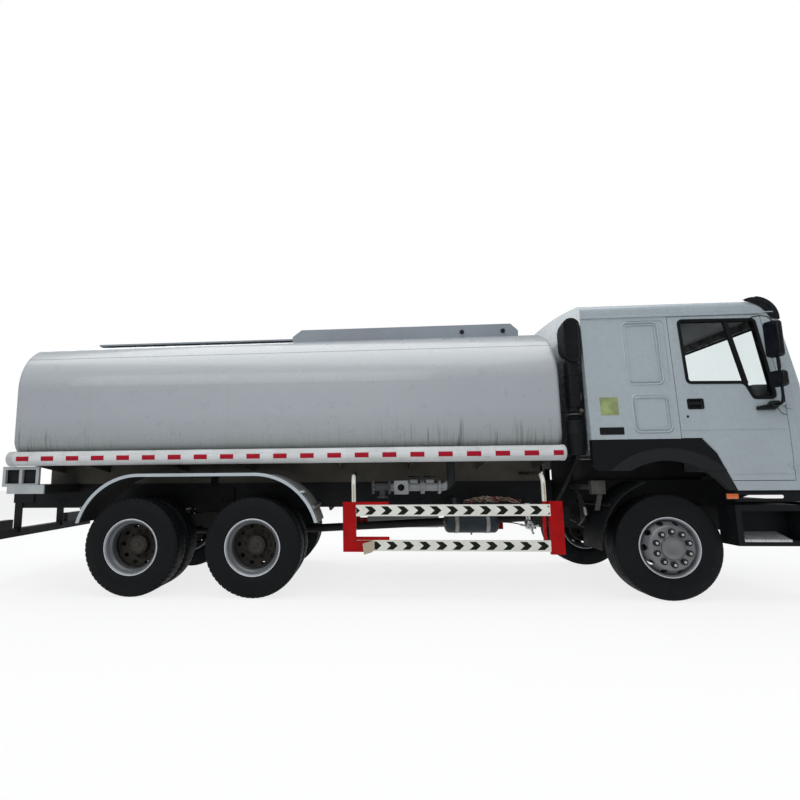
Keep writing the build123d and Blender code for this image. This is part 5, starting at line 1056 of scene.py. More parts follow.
def softened(corners, radius, steps=5):
    """A closed outline with rounded corners, as many points whatever the radius."""
    points = [Vector(corner) for corner in corners]
    outline = []
    for i, here in enumerate(points):
        back, onward = (points[i - 1] - here).normalized(), (points[(i + 1) % len(points)] - here).normalized()
        half = back.angle(onward) / 2
        centre = here + (back + onward).normalized() * (radius / sin(half))
        first, last = here + back * (radius / tan(half)) - centre, here + onward * (radius / tan(half)) - centre
        turn = atan2(first.x * last.y - first.y * last.x, first.dot(last))
        for k in range(steps + 1):
            a = turn * k / steps
            outline.append(centre + Vector((first.x * cos(a) - first.y * sin(a), first.x * sin(a) + first.y * cos(a))))
    return outline


def ring_plate(name, outer, inner, place, thick, round_by=0.0):
    """A flat ring between two outlines of as many points; thick is how far it is drawn out."""
    spots = [Vector(place(*point)) for point in outer]
    piece = drawn(name, spots, "NOTHING", "VERT")
    drawn_on(piece, spots, [place(*point) for point in inner])
    bpy.ops.mesh.select_all(action="SELECT")
    bpy.ops.mesh.extrude_region_move(TRANSFORM_OT_translate={"value": thick})
    clear()
    outward(piece)
    return rounded(piece, round_by, 2, 50) if round_by else piece


def box_between(low, high):
    """Corners of a rectangle."""
    return [(low[0], low[1]), (high[0], low[1]), (high[0], high[1]), (low[0], high[1])]


def round_box(low, high, radius, spread=0.0, steps=5):
    """A rectangle with rounded corners, made larger all round by a spread."""
    return softened(grown(box_between(low, high), spread), radius, steps)


def skin(z):
    """Outer face of the cab's side at a height."""
    return SIDE_Y - SIDE_LEAN * max(0.0, z - BELT_Z)


def face_x(z):
    """Front face of the cab at a height."""
    return NOSE_X - NOSE_LEAN * max(0.0, z - NOSE_Z)


def on_side(side, lift):
    """Where a sheet lies on the cab's side, in X and Z."""
    return lambda x, z: Vector((x, side * (skin(z) + lift), z))


def at_y(y):
    """Where a sheet lies in the plane at one Y, in X and Z."""
    return lambda x, z: Vector((x, y, z))


def at_x(x):
    """Where a sheet lies in the plane at one X, in Y and Z."""
    return lambda y, z: Vector((x, y, z))


def on_front(lift):
    """Where a sheet lies on the cab's front, in Y and Z."""
    return lambda y, z: Vector((face_x(z) + lift, y, z))


def bolt(name, centre, axis, radius=0.011, height=0.009):
    """A hex bolt head on its washer."""
    washer = turned(name, [(0, radius * 1.45), (height * 0.22, radius * 1.45), (height * 0.25, radius)], centre, axis,
                    12)
    head = turned(name + "_head", [(height * 0.2, radius), (height * 0.85, radius), (height, radius * 0.85)], centre,
                  axis, 6)
    return joined(name, [washer, head])


def bolts(name, places, axis, body, look, radius=0.011, height=0.009):
    """Bolt heads at many places, all facing one way."""
    first = bolt(name + "_one", (0, 0, 0), axis, radius, height)
    heads = [copy_of(first, f"{name}_{i}", place) for i, place in enumerate(places)]
    bpy.data.objects.remove(first)
    return fit(joined(name, heads), body, look)


# ------------------------------------------------------------------ doors and cab sides

WINDOW = [(3.345, 2.895), (4.105, 2.885), (4.2, 2.04), (3.99, 2.04), (3.922, 2.205), (3.361, 2.215)]
SILL_Y, GUTTER_Y = 1.236, 1.192
PULL_CUP = ((3.342, 1.946), (3.482, 2.034))
PRESSINGS = (((2.775, 2.22), (3.12, 2.88)), ((2.8, 1.715), (3.15, 2.09)))

for side, name in SIDES:
    door = f"door_{name}_leaf"
    away = Vector((0, side, 0))
    seal = ring_plate(f"window_rubber_{name}", softened(grown(WINDOW, 0.014), 0.054),
                      softened(grown(WINDOW, -0.017), 0.026), on_side(side, -0.004), away * 0.011, 0.003)
    fit(seal, door, "seal")
    inner_seal = ring_plate(f"window_reveal_{name}", softened(grown(WINDOW, 0.002), 0.044),
                            softened(grown(WINDOW, -0.024), 0.022), on_side(side, -0.04), away * 0.016)
    fit(inner_seal, door, "seal")
    bar = sheet_of(f"window_bar_{name}", [(3.792, 2.898), (3.834, 2.898), (3.958, 2.195), (3.916, 2.195)],
                   on_side(side, -0.027), away * 0.03)
    fit(rounded(bar, 0.003), door, "seal")
    # recessed pull handle and key lock
    cup = ring_plate(f"handle_rim_{name}", round_box(*PULL_CUP, 0.018, 0.012),
                     round_box(*PULL_CUP, 0.01, -0.003),
                     on_side(side, -0.003), away * 0.008, 0.002)
    floor_plate = sheet_of("cup_floor", round_box((3.34, 1.944), (3.484, 2.036), 0.01), on_side(side, -0.027),
                           away * 0.004)
    fit(joined(f"handle_cup_{name}", [cup, floor_plate]), door, "plastic")
    lever = sheet_of(f"handle_lever_{name}", round_box((3.3365, 1.9815), (3.4875, 2.0185), 0.008),
                     on_side(side, -0.0175), away * 0.0185)
    fit(rounded(lever, 0.003), door, "gloss_black")
    lock = knob(f"door_lock_{name}", [(-0.004, 0.013), (0.002, 0.013), (0.004, 0.01), (0.004, 0.004), (0.001, 0.003)],
                (3.32, side * skin(1.859), 1.859), (0, side, 0), 20)
    fit(lock, door, "gloss_black")
    # raised rims of the two pressings behind the door
    for number, (low, high) in enumerate(PRESSINGS):
        beads = []
        for spread, radius, lift in ((0.01, 0.0095, -0.003), (-0.02, 0.006, -0.0015)):
            loop = [on_side(side, lift)(x, z) for x, z in round_box(low, high, 0.05 + spread, spread, 6)]
            beads.append(pipe("bead", loop + loop[:1], radius, 3, smooth=False))
        fit(joined(f"pressing_rims_{number}_{name}", beads), "cab", "cab_white")
    # rain gutter lip over the door
    lip = pipe(f"gutter_lip_{name}", across(side, [(2.365, GUTTER_Y, 2.962), (3.3, GUTTER_Y, 2.962),
                                                   (4.3, GUTTER_Y, 2.96)]), 0.007, 3, smooth=False)
    fit(lip, "cab", "cab_white")
    # marker lamp at the arch's front foot
    base = block(f"marker_base_{name}", (3.592, side * SILL_Y - 0.012, 1.014), (3.722, side * SILL_Y + 0.008, 1.08),
                 0.005)
    shade = block(f"marker_lens_{name}", (3.599, side * 1.241 - 0.01, 1.02), (3.715, side * 1.241 + 0.009, 1.074),
                  0.008, 3)
    fit(base, "cab", "plastic")
    fit(shade, "cab", "amber")
    # aluminium treads of the step well
    treads = [sheet_of("tread", round_box((3.732, 0.0), (4.168, 0.19), 0.012),
                       lambda x, v: Vector((x, side * (SILL_Y - v), 0.617 + 0.33 * v)), Vector((0, 0, 0.006))),
              block("tread_lip", (3.73, side * SILL_Y - 0.006, 0.6), (4.17, side * SILL_Y + 0.004, 0.626), 0.003)]
    fit(joined(f"step_tread_{name}", treads), "chassis", "tread_plate")
    # inner panel of the door and its arm rest
    lining = block(f"door_lining_{name}", (3.33, side * 1.172 - 0.006, 1.56), (4.18, side * 1.172 + 0.006, 2.01), 0.004)
    rest = block("arm_rest", (3.48, side * 1.14 - 0.034, 1.93), (3.9, side * 1.14 + 0.034, 1.985), 0.016, 3)
    fit(joined(f"door_lining_{name}", [lining, rest]), door, "cab_grey")

# ------------------------------------------------------------------ mirrors


def mirror_head(name, low, high, turn, side):
    """A housing with rounded back, its rim and its glass, turned in towards the driver."""
    middle = (low + high) / 2
    shell = block(name, (-0.038, -0.072, low - middle), (0.038, 0.072, high - middle), 0.034, 5)
    rim = ring_plate("rim", round_box((-0.068, low - middle + 0.006), (0.068, high - middle - 0.006), 0.032),
                     round_box((-0.06, low - middle + 0.014), (0.06, high - middle - 0.014), 0.026),
                     at_x(-0.044), Vector((0.008, 0, 0)), 0.002)
    glass = sheet_of(name + "_glass", round_box((-0.061, low - middle + 0.013), (0.061, high - middle - 0.013), 0.026),
                     at_x(-0.0405), Vector((0.004, 0, 0)))
    head = joined(name, [shell, rim])
    for piece in (head, glass):
        piece.data.transform(Matrix.Rotation(-side * turn, 4, "Z"))
        piece.data.transform(Matrix.Translation((4.128, side * 1.392, middle)))
    return head, glass


for side, name in SIDES:
    door = f"door_{name}_leaf"
    parts, panes = [], []
    for title, low, high in (("main", 2.425, 2.8), ("wide", 2.124, 2.292)):
        head, pane = mirror_head(f"{title}_mirror_{name}", low, high, radians(14), side)
        parts.append(head)
        panes.append(pane)
    post = pipe("post", across(side, [(4.135, 1.395, 1.972), (4.138, 1.395, 2.18), (4.132, 1.393, 2.35),
                                      (4.135, 1.392, 2.5)]), 0.0125, 4)
    arm = pipe("arm", across(side, [(4.15, 1.25, 1.962), (4.165, 1.3, 1.962), (4.15, 1.37, 1.975),
                                    (4.136, 1.394, 2.03)]), 0.0145, 4)
    stay = pipe("stay", across(side, [(4.13, 1.392, 2.78), (4.124, 1.38, 2.85), (4.09, 1.26, 2.905),
                                      (4.075, 1.196, 2.9)]), 0.006, 3)
    foot = sheet_of("foot", [(3.988, 1.912), (4.15, 1.91), (4.2, 1.95), (4.206, 2.008), (4.12, 2.004), (4.095, 1.968),
                             (3.99, 1.952)], on_side(side, 0.001), Vector((0, side * 0.04, 0)))
    knuckle = block("mirror_knuckle", (4.105, side * 1.262 - 0.03, 1.942), (4.17, side * 1.262 + 0.03, 1.99), 0.016, 3)
    parts += [post, arm, stay, rounded(foot, 0.01, 3), knuckle]
    for k in range(9):
        parts.append(knob("ring", [(-0.004, 0.0165), (0.004, 0.0165)], (4.136, side * 1.394, 2.318 + 0.012 * k),
                          (0, 0, 1), 14))
    fit(joined(f"mirror_frame_{name}", parts), door, "gloss_black", f"mirror_{name}")
    fit(joined(f"mirror_panes_{name}", panes), door, "mirror")
    wire = pipe(f"mirror_wire_{name}", across(side,
                                              [(4.16, 1.268, 1.95), (4.19, 1.262, 1.9), (4.225, 1.252, 1.868),
                                               (4.262, 1.246, 1.862)]), 0.003, 3)
    fit(wire, door, "seal")

# ------------------------------------------------------------------ sun visor, roof and screen

# the visor's arc as centre X, centre Z and radius: its middle, then its ends, which sit further back and lower
VISOR = ((4.2315, 2.9426, 0.2306), (4.1288, 2.9035, 0.2235))
VISOR_END, visor_steps, visor_half = 1.196, 14, 10
sections = []
for j in range(-visor_half, visor_half + 1):
    reach = j / visor_half
    end = max(0.0, (abs(reach) - 0.45) / 0.55) ** 2
    cx, cz, r = (a + (b - a) * end for a, b in zip(*VISOR))
    sections.append((cx, VISOR_END * reach, cz, r))


def visor_point(section, angle, deep):
    """A point of one section at an angle in degrees, some way inside the sheet."""
    cx, y, cz, r = section
    return Vector((cx + (r - deep) * cos(radians(angle)), y, cz + (r - deep) * sin(radians(angle))))


clear()
bpy.ops.mesh.primitive_grid_add(x_subdivisions=visor_steps, y_subdivisions=2 * visor_half, size=2)
visor = bpy.context.object
visor.name = "visor_sheet"
bpy.ops.object.mode_set(mode="EDIT")
mesh = bmesh.from_edit_mesh(visor.data)
for vertex in mesh.verts:
    k, j = round((vertex.co.x + 1) / 2 * visor_steps), round((vertex.co.y + 1) * visor_half)
    vertex.co = visor_point(sections[j], -7 + 92 * k / visor_steps, 0.0)
bmesh.update_edit_mesh(visor.data)
clear()
modify(visor, "SOLIDIFY", thickness=0.007, offset=-1)
outward(visor)
cheeks = []
for side in (-1, 1):
    section = sections[0 if side < 0 else -1]
    outline = [visor_point(section, -7 + 127 * k / 16, 0.0) for k in range(17)]
    outline += [visor_point(section, a, d) for a, d in ((112, 0.035), (88, 0.075), (62, 0.098), (35, 0.105),
                                                        (10, 0.096), (-7, 0.075))]
    cheek = sheet_of("cheek", [(p.x, p.z) for p in outline], at_y(side * VISOR_END),
                     Vector((0, -side * 0.007, 0)))
    cheeks.append(rounded(cheek, 0.002))
ribs = [pipe("visor_rib", [visor_point(sections[0 if side < 0 else -1], a, 0.03) + Vector((0, side * 0.001, 0))
                           for a in (-2, 20, 45, 70, 95, 112)], 0.006, 3) for side in (-1, 1)]
for j in (4, 16):
    ribs.append(pipe("visor_bracket", [visor_point(sections[j], 60, 0.004), visor_point(sections[j], 52, 0.06),
                                       Vector((4.285, sections[j][1], 3.02))], 0.01, 4))
fit(joined("sun_visor_shell", [visor] + cheeks + ribs), "cab", "gloss_black", "sun_visor")

headliner = block("headliner", (2.4, -1.13, 2.94), (4.24, 1.13, 2.952), 0.003)
fit(headliner, "cab", "dash")
SCREEN = box_between((-1.085, 2.085), (1.085, 2.88))
rubber_ring = ring_plate("screen_rubber", softened(grown(SCREEN, 0.018), 0.075), softened(grown(SCREEN, -0.022), 0.045),
                         on_front(-0.004), Vector((0.012, 0, 0)), 0.003)
fit(rubber_ring, "cab", "seal")
WIPER_Z = 2.035
for number, (foot_y, tip_y) in enumerate(((-0.72, -0.12), (0.02, 0.64))):
    spindle = knob("wiper_spindle", [(0, 0.02), (0.022, 0.018), (0.026, 0.012)], (face_x(WIPER_Z), foot_y, WIPER_Z),
                   (1, 0, 0.14), 20)
    arm = pipe("wiper_arm", [(face_x(WIPER_Z) + 0.02, foot_y, WIPER_Z), (face_x(2.08) + 0.026, foot_y + 0.15, 2.07),
                             (face_x(2.13) + 0.02, tip_y - 0.16, 2.128)], 0.006, 3)
    blade = block("wiper_blade", (face_x(2.125) + 0.004, tip_y - 0.42, 2.118),
                  (face_x(2.125) + 0.014, tip_y + 0.18, 2.14), 0.003)
    fit(joined(f"wiper_{number}", [spindle, arm, blade]), "cab", "gloss_black")
# grips below the screen, turn lamps, headlamps and tow pins
GRIP_Z = 1.905
for side, name in SIDES:
    grip = pipe(f"front_grip_{name}", across(side,
                                             [(4.47, 0.86, GRIP_Z), (4.505, 0.85, GRIP_Z), (4.51, 0.74, GRIP_Z),
                                              (4.505, 0.63, GRIP_Z), (4.47, 0.62, GRIP_Z)]), 0.01, 4)
    fit(grip, "cab", "gloss_black")
    turn_lamp = block(f"turn_lamp_{name}", (4.452, side * 1.075 - 0.075, 1.145), (4.476, side * 1.075 + 0.075, 1.2),
                      0.008, 3)
    fit(turn_lamp, "cab", "amber")
    # headlamp: dark housing, two bright bowls and a clear cover
    y = side * 0.96
    housing = block(f"headlamp_housing_{name}", (4.4905, y - 0.164, 0.726), (4.499, y + 0.164, 0.874), 0.002)
    bowls = [knob("bowl", [(0.0, 0.018), (0.01, 0.04), (0.02, r), (0.022, r), (0.022, r - 0.004), (0.012, 0.036),
                           (0.004, 0.016)], (4.499, y + dy, 0.8), (1, 0, 0), 28)
             for dy, r in ((-0.085, 0.058), (0.06, 0.058))]
    cover = block(f"headlamp_cover_{name}", (4.5225, y - 0.1645, 0.7255), (4.527, y + 0.1645, 0.8745), 0.002)
    corner = block(f"headlamp_turn_{name}", (4.5, y + side * 0.147 - 0.013, 0.732),
                   (4.522, y + side * 0.147 + 0.013, 0.868), 0.004)
    fit(housing, "chassis", "lamp_housing", "headlamps")
    fit(joined(f"headlamp_bowls_{name}", bowls), "chassis", "chrome", "headlamps")
    fit(cover, "chassis", "clear_lens", "headlamps")
    fit(corner, "chassis", "amber")
    eye_bolt = knob(f"tow_pin_{name}", [(-0.03, 0.022), (0.03, 0.022), (0.034, 0.018)], (4.515, side * 0.66, 0.73),
                    (0, 1, 0), 20)
    fit(eye_bolt, "chassis", "iron")

# ------------------------------------------------------------------ sill, dash, labels and the gear behind the cab

for side, name in SIDES:
    away = Vector((0, side, 0))
    valance = ring_plate(f"sill_valance_{name}", round_box((3.69, 0.993), (4.392, 1.108), 0.012),
                         round_box((3.735, 1.024), (4.155, 1.058), 0.015),
                         at_y(side * 1.219), away * 0.009, 0.002)
    fit(valance, "cab", "plastic")
    # painted shade: a black sheet behind the rack stands for the dark seen through it
    shade_sheet = block(f"rack_shade_sheet_{name}", (-4.19, side * 1.089 - 0.004, 1.212),
                    (-3.775, side * 1.089 + 0.004, 1.405), 0.002)
    fit(shade_sheet, "chassis", "chassis")
roll = block("dash_roll", (4.07, -1.118, 2.045), (4.285, 1.118, 2.205), 0.045, 4)
fit(roll, "cab", "dash")
label = sheet_of("cab_label_blank", box_between((2.463, 1.887), (2.645, 2.077)), on_side(-1, -0.0005),
                 Vector((0, -0.0015, 0)))
fit(label, "cab", "blank_label")
plate_ring = ring_plate("plate_rim", round_box((2.434, 1.682), (2.678, 1.759), 0.006),
                        round_box((2.439, 1.687), (2.673, 1.754), 0.004), on_side(-1, -0.0005), Vector((0, -0.003, 0)))
plate = sheet_of("name_plate_blank", round_box((2.436, 1.684), (2.676, 1.757), 0.005), on_side(-1, -0.0005),
                 Vector((0, -0.0018, 0)))
fit(joined("name_plate_blank", [plate, plate_ring]), "cab", "gloss_black")

# intake: a rounded hood on a riser, its mouth closed by a honeycomb
HOOD_X, CANISTER_Y = 2.237, -1.1175
MOUTH_LOW, MOUTH_HIGH, MOUTH_HALF = 2.486, 2.949, 0.078


def stadium(half_width, low, high, lean=0.0, steps=9):
    """An upright outline with round ends."""
    points = [(HOOD_X + lean + half_width * cos(a), high - half_width + half_width * sin(a))
              for a in (pi * k / steps for k in range(steps + 1))]
    return points + [(HOOD_X + lean + half_width * cos(a), low + half_width + half_width * sin(a))
                     for a in (pi + pi * k / steps for k in range(steps + 1))]


rings = ((0.079, 2.56, 2.905, 0.0, -1.012), (0.087, 2.52, 2.93, 0.0, -1.05), (0.088, 2.49, 2.95, 0.0, -1.13),
         (0.088, 2.475, 2.96, 0.0, -1.205), (0.0855, 2.478, 2.957, 0.0, -1.215), (0.08, 2.484, 2.951, 0.0, -1.2165),
         (MOUTH_HALF, MOUTH_LOW, MOUTH_HIGH, 0.0, -1.212), (MOUTH_HALF, MOUTH_LOW, MOUTH_HIGH, 0.0, -1.15))
outlines = [[Vector((x, y, z)) for x, z in stadium(half, low, high, lean)] for half, low, high, lean, y in rings]
hood = drawn("intake_hood", outlines[0], "NGON", "FACE")
for here, onward in zip(outlines, outlines[1:]):
    drawn_on(hood, here, onward)
clear()
outward(hood)
# honeycomb: whole cells inside the mouth, drawn out into webs
cells = []
CELL = 0.0215
clear()
bpy.ops.mesh.primitive_circle_add(vertices=6, radius=CELL / sqrt(3), fill_type="NGON", rotation=(pi / 2, 0, 0))
cell = settle(bpy.context.object)
for row in range(27):
    for column in range(8):
        x = HOOD_X + (column - 3.5 + (row % 2) / 2) * CELL
        z = 2.478 + row * CELL * sqrt(3) / 2
        end = max(0.0, z - (MOUTH_HIGH - MOUTH_HALF), (MOUTH_LOW + MOUTH_HALF) - z)
        if hypot(x - HOOD_X, end) < 0.079:
            cells.append(copy_of(cell, f"cell_{row}_{column}", (x, -1.197, z), (pi / 2, "Y"), (0, 0, 0)))
bpy.data.objects.remove(cell)
comb = outward(joined("intake_honeycomb", cells))
modify(comb, "WIREFRAME", thickness=0.0042, use_even_offset=True)
comb_rim = ring_plate("comb_rim", stadium(0.0785, 2.4855, 2.9495), stadium(0.0725, 2.4915, 2.9435),
                      at_y(-1.192), Vector((0, -0.01, 0)))
riser = [block("riser", (2.183, -1.192, 1.985), (2.292, -1.043, 2.5), 0.018, 3),
         turned("bellows", [(1.85, 0.001), (1.85, 0.06)]
                + [(1.853 + 0.0125 * k, 0.074 if k % 2 else 0.062) for k in range(9)]
                + [(1.985, 0.06), (1.985, 0.001)], (HOOD_X, CANISTER_Y, 0), (0, 0, 1), 32),
         knob("canister", [(1.48, 0.078), (1.487, 0.085), (1.56, 0.085), (1.563, 0.088), (1.572, 0.088),
                           (1.575, 0.085), (1.7, 0.085), (1.703, 0.087), (1.709, 0.087), (1.712, 0.085), (1.84, 0.085),
                           (1.85, 0.076)], (HOOD_X, CANISTER_Y, 0), (0, 0, 1), 40)]
for z in (2.12, 2.33):
    riser.append(block("riser_band", (2.179, -1.196, z), (2.296, -1.039, z + 0.018), 0.004))
clip = [block("riser_clip", (2.292, -1.15, 2.06), (2.322, -1.11, 2.15), 0.006),
        turned("clip_knob", [(0, 0.001), (0, 0.02), (0.012, 0.024), (0.024, 0.018), (0.028, 0.001)],
               (2.292, -1.165, 1.948), (0, -1, 0), 20),
        knob("canister_band", [(1.905, 0.0765), (1.919, 0.0765)], (HOOD_X, CANISTER_Y, 0), (0, 0, 1), 32)]
strut = sheet_of("intake_strut", [(-0.434, 1.44), (-0.434, 0.964), (-0.53, 0.964), (-1.185, 1.43), (-1.185, 1.482),
                                  (-1.04, 1.482), (-1.04, 1.452)], at_x(HOOD_X - 0.038), Vector((0.04, 0, 0)))
inside = sheet_of("hood_floor", stadium(0.0775, 2.4865, 2.9485), at_y(-1.15), Vector((0, 0.002, 0)))
fit(joined("intake_duct", [hood, inside] + riser + [rounded(strut, 0.004)]), "chassis", "plastic", "air_intake")
fit(joined("intake_honeycomb", [comb, comb_rim]), "chassis", "comb_grey", "air_intake", smooth=0)
fit(joined("intake_clips", clip), "chassis", "bracket_grey")

# bracket, strut and bent pipes between the frame and the cab's rear mudguard
for side, name in SIDES:
    y = side * 1.08
    holder = [block("holder", (2.362, y - 0.035, 1.068), (2.506, y + 0.035, 1.212), 0.008, 3),
              block("holder_arm", (2.4, side * 0.76 - 0.34, 1.11), (2.45, side * 0.76 + 0.34, 1.165), 0.006),
              sheet_of("strut", [(2.428, 1.072), (2.478, 1.072), (2.436, 0.9), (2.392, 0.9)],
                       at_y(y - 0.01), Vector((0, 0.02, 0)))]
    holder += [bolt("holder_bolt", (x, y + side * 0.035, z), (0, side, 0), 0.01, 0.008) for x in (2.388, 2.48)
               for z in (1.094, 1.186)]
    fit(joined(f"step_holder_{name}", holder), "chassis", "bracket_grey")
    bent = [pipe("bent", across(side, [(2.3 + 0.03 * k, 0.5 + 0.04 * k, 1.15), (2.3 + 0.03 * k, 0.86 - 0.05 * k, 1.14),
                                       (2.318 + 0.02 * k, 0.9, 0.98), (2.335 + 0.02 * k, 0.88, 0.78 + 0.03 * k),
                                       (2.372 + 0.02 * k, 0.7, 0.7 + 0.02 * k), (2.4, 0.5, 0.76 + 0.03 * k)]), 0.0055,
                 3) for k in range(3)]
    bent.append(knob("coupling", [(-0.045, 0.016), (-0.02, 0.02), (0.02, 0.02), (0.045, 0.015)],
                     (2.372, side * 0.892, 0.88), (0.2, 0, -1), 16))
    fit(joined(f"brake_pipes_{name}", bent[:-1]), "chassis", "dark_pipe")
    fit(bent[-1], "chassis", "iron")
    bent[-1].name = f"pipe_coupling_{name}"

# ------------------------------------------------------------------ pipework, brake lines and reservoirs

PIPE_Y, PIPE_Z, OUTLET_X = -0.82, 1.15, 0.38
places = []
for x in (0.08, 0.266, 0.454, 0.63, 0.833):
    for k in range(8):
        a = 2 * pi * (k + 0.5) / 8
        places.append((x, PIPE_Y + 0.064 * cos(a), PIPE_Z + 0.064 * sin(a)))
bolts("flange_bolts", places, (1, 0, 0), "chassis", "iron", 0.0085, 0.01)
mouth = [turned("outlet_ring", [(0.0, 0.038), (0.0, 0.052), (0.007, 0.052), (0.01, 0.048), (0.01, 0.0385)],
                (OUTLET_X, -1.024, PIPE_Z), (0, -1, 0), 36, closed=True)]
# painted shade: a near-black plug stands for the dark inside the outlet's bore
dark = knob("outlet_bore_shade", [(0, 0.0375), (0.085, 0.0375), (0.085, 0.0385), (-0.002, 0.0385)],
            (OUTLET_X, -0.935, PIPE_Z), (0, -1, 0), 32)
fit(dark, "chassis", "lamp_housing")
mouth += [bolt("outlet_bolt", (OUTLET_X + 0.06 * i, -1.0245, PIPE_Z + 0.06 * j), (0, -1, 0), 0.008, 0.008)
          for i in (-1, 1) for j in (-1, 1)]
fit(joined("outlet_fittings", mouth), "chassis", "pipe_grey")
for number, x in enumerate((0.538, 0.72)):
    wheel = turned(f"valve_wheel_{number}", [(0.0, 0.062), (0.01, 0.068), (0.016, 0.062), (0.01, 0.056)],
                   (x, PIPE_Y, 1.256), (0, 0, 1), 28, closed=True)
    parts = [wheel, turned("stem", [(0, 0.001), (0, 0.012), (0.07, 0.01), (0.075, 0.001)], (x, PIPE_Y, 1.205),
                           (0, 0, 1), 12)]
    parts += [pipe("spoke", [(x, PIPE_Y, 1.266), (x + 0.06 * cos(a), PIPE_Y + 0.06 * sin(a), 1.266)], 0.005, 2,
                   smooth=False) for a in (0.5, 0.5 + 2 * pi / 3, 0.5 + 4 * pi / 3)]
    fit(joined(f"valve_wheel_{number}", parts), "chassis", "lamp_housing")

# a tray of brake lines over the reservoirs
tray = [block("tray", (1.105, -0.78, 0.9425), (1.75, -0.62, 0.948), 0.002),
        block("tray_lip", (1.105, -0.784, 0.9425), (1.75, -0.78, 0.96), 0.001)]
tray += [block("tray_arm", (x, -0.64, 0.93), (x + 0.04, -0.425, 0.9425), 0.002) for x in (1.2, 1.65)]
fit(joined("line_tray", tray), "chassis", "chassis")
for look, seed in (("cable", 0), ("line_red", 1), ("line_cream", 2)):
    lines = []
    for k in range(5):
        n = seed * 5 + k
        start, stop = 1.115 + 0.03 * (n % 4), 1.735 - 0.045 * ((n * 7) % 5)
        points = []
        for i in range(9):
            share = i / 8
            points.append((start + (stop - start) * share,
                           -0.765 + 0.125 * (0.5 + 0.5 * sin(n * 1.9 + i * (1.3 + 0.21 * (n % 3)))),
                           0.958 + (0.04 + 0.05 * sin(pi * share))
                           * (0.5 + 0.5 * sin(n * 2.7 + i * (1.7 + 0.13 * (n % 4))))))
        lines.append(pipe("line", points, 0.0048 + 0.001 * (n % 3), 3))
    fit(joined(f"brake_lines_{seed}", lines), "chassis", look)

# relay valve ahead of the reservoir
RELAY_Y, FRAME_Y = -0.703, -0.425
relay = [block("relay", (1.79, -0.742, 0.668), (1.872, -0.664, 0.742), 0.014, 3),
         turned("relay_dome", [(0, 0.001), (0, 0.04), (0.018, 0.036), (0.03, 0.02), (0.034, 0.001)],
                (1.831, RELAY_Y, 0.74), (0, 0, 1), 24),
         block("relay_plate", (1.806, -0.668, 0.7), (1.856, -0.66, 0.955), 0.002),
         block("relay_arm", (1.806, -0.668, 0.93), (1.856, FRAME_Y, 0.94), 0.002)]
for place, way in (((1.872, RELAY_Y, 0.7), (1, 0, 0.1)), ((1.79, RELAY_Y, 0.705), (-1, 0, 0.2)),
                   ((1.831, -0.742, 0.69), (0, -1, 0)), ((1.85, RELAY_Y, 0.668), (0.3, 0, -1))):
    relay.append(turned("fitting", [(-0.004, 0.001), (-0.004, 0.016), (0.014, 0.016), (0.016, 0.011), (0.04, 0.011),
                                    (0.042, 0.014), (0.056, 0.014), (0.058, 0.001)], place, way, 6))
fit(joined("relay_valve", relay), "chassis", "nut_bright")
fit(joined("relay_pipes", [pipe("line", points, 0.006, 3) for points in (
    [(1.925, RELAY_Y, 0.706), (1.975, -0.7, 0.712), (2.0, -0.62, 0.8), (2.005, -0.52, 0.93), (2.01, FRAME_Y, 0.98)],
    [(1.735, RELAY_Y, 0.718), (1.69, -0.702, 0.73), (1.6, -0.702, 0.745), (1.478, -0.7, 0.745)])]), "chassis",
    "dark_pipe")

# reservoir straps, end bosses and a drain cock
TANK_Y, TANK_Z = -0.7, 0.745
straps = []
for x in (1.01, 1.352):
    straps.append(turned("strap", [(-0.02, 0.1185), (-0.02, 0.1215), (0.02, 0.1215), (0.02, 0.1185)],
                         (x, TANK_Y, TANK_Z), (1, 0, 0), 44, closed=True))
for x in (0.88, 1.482):
    straps.append(knob("end_boss", [(-0.006, 0.018), (0.006, 0.018)], (x, TANK_Y, TANK_Z), (1, 0, 0), 20))
straps.append(knob("drain", [(0, 0.01), (0.022, 0.01), (0.026, 0.005)], (1.181, TANK_Y, 0.629), (0, 0, -1), 14))
fit(joined("reservoir_straps", straps), "chassis", "iron")

# caps on the hose carriers, and the foot of each guard
HOSE_Y, HOSE_Z = 1.16, 1.507
for side, name in SIDES:
    foot = block(f"guard_foot_{name}", (GUARD[0] + 0.138, side * 1.19 - 0.014, 0.517),
                 (0.07, side * 1.19 + 0.016, 0.608), 0.002)
    fit(foot, "chassis", "red")
    caps = [turned("carrier_cap", [(0.0, 0.001), (0.0, 0.06), (0.008, 0.08), (0.016, 0.0855), (0.078, 0.0855),
                                   (0.078, 0.0825), (0.02, 0.0825)], (-4.104, side * HOSE_Y, HOSE_Z), (1, 0, 0), 48),
            turned("carrier_front", [(0.0, 0.0825), (0.0, 0.0845), (0.03, 0.0845), (0.036, 0.078), (0.036, 0.001),
                                     (0.03, 0.001)], (2.056, side * HOSE_Y, HOSE_Z), (1, 0, 0), 48)]
    fit(joined(f"carrier_caps_{name}", caps), "chassis", "tube_plain")

# ------------------------------------------------------------------ frame, axles and springs

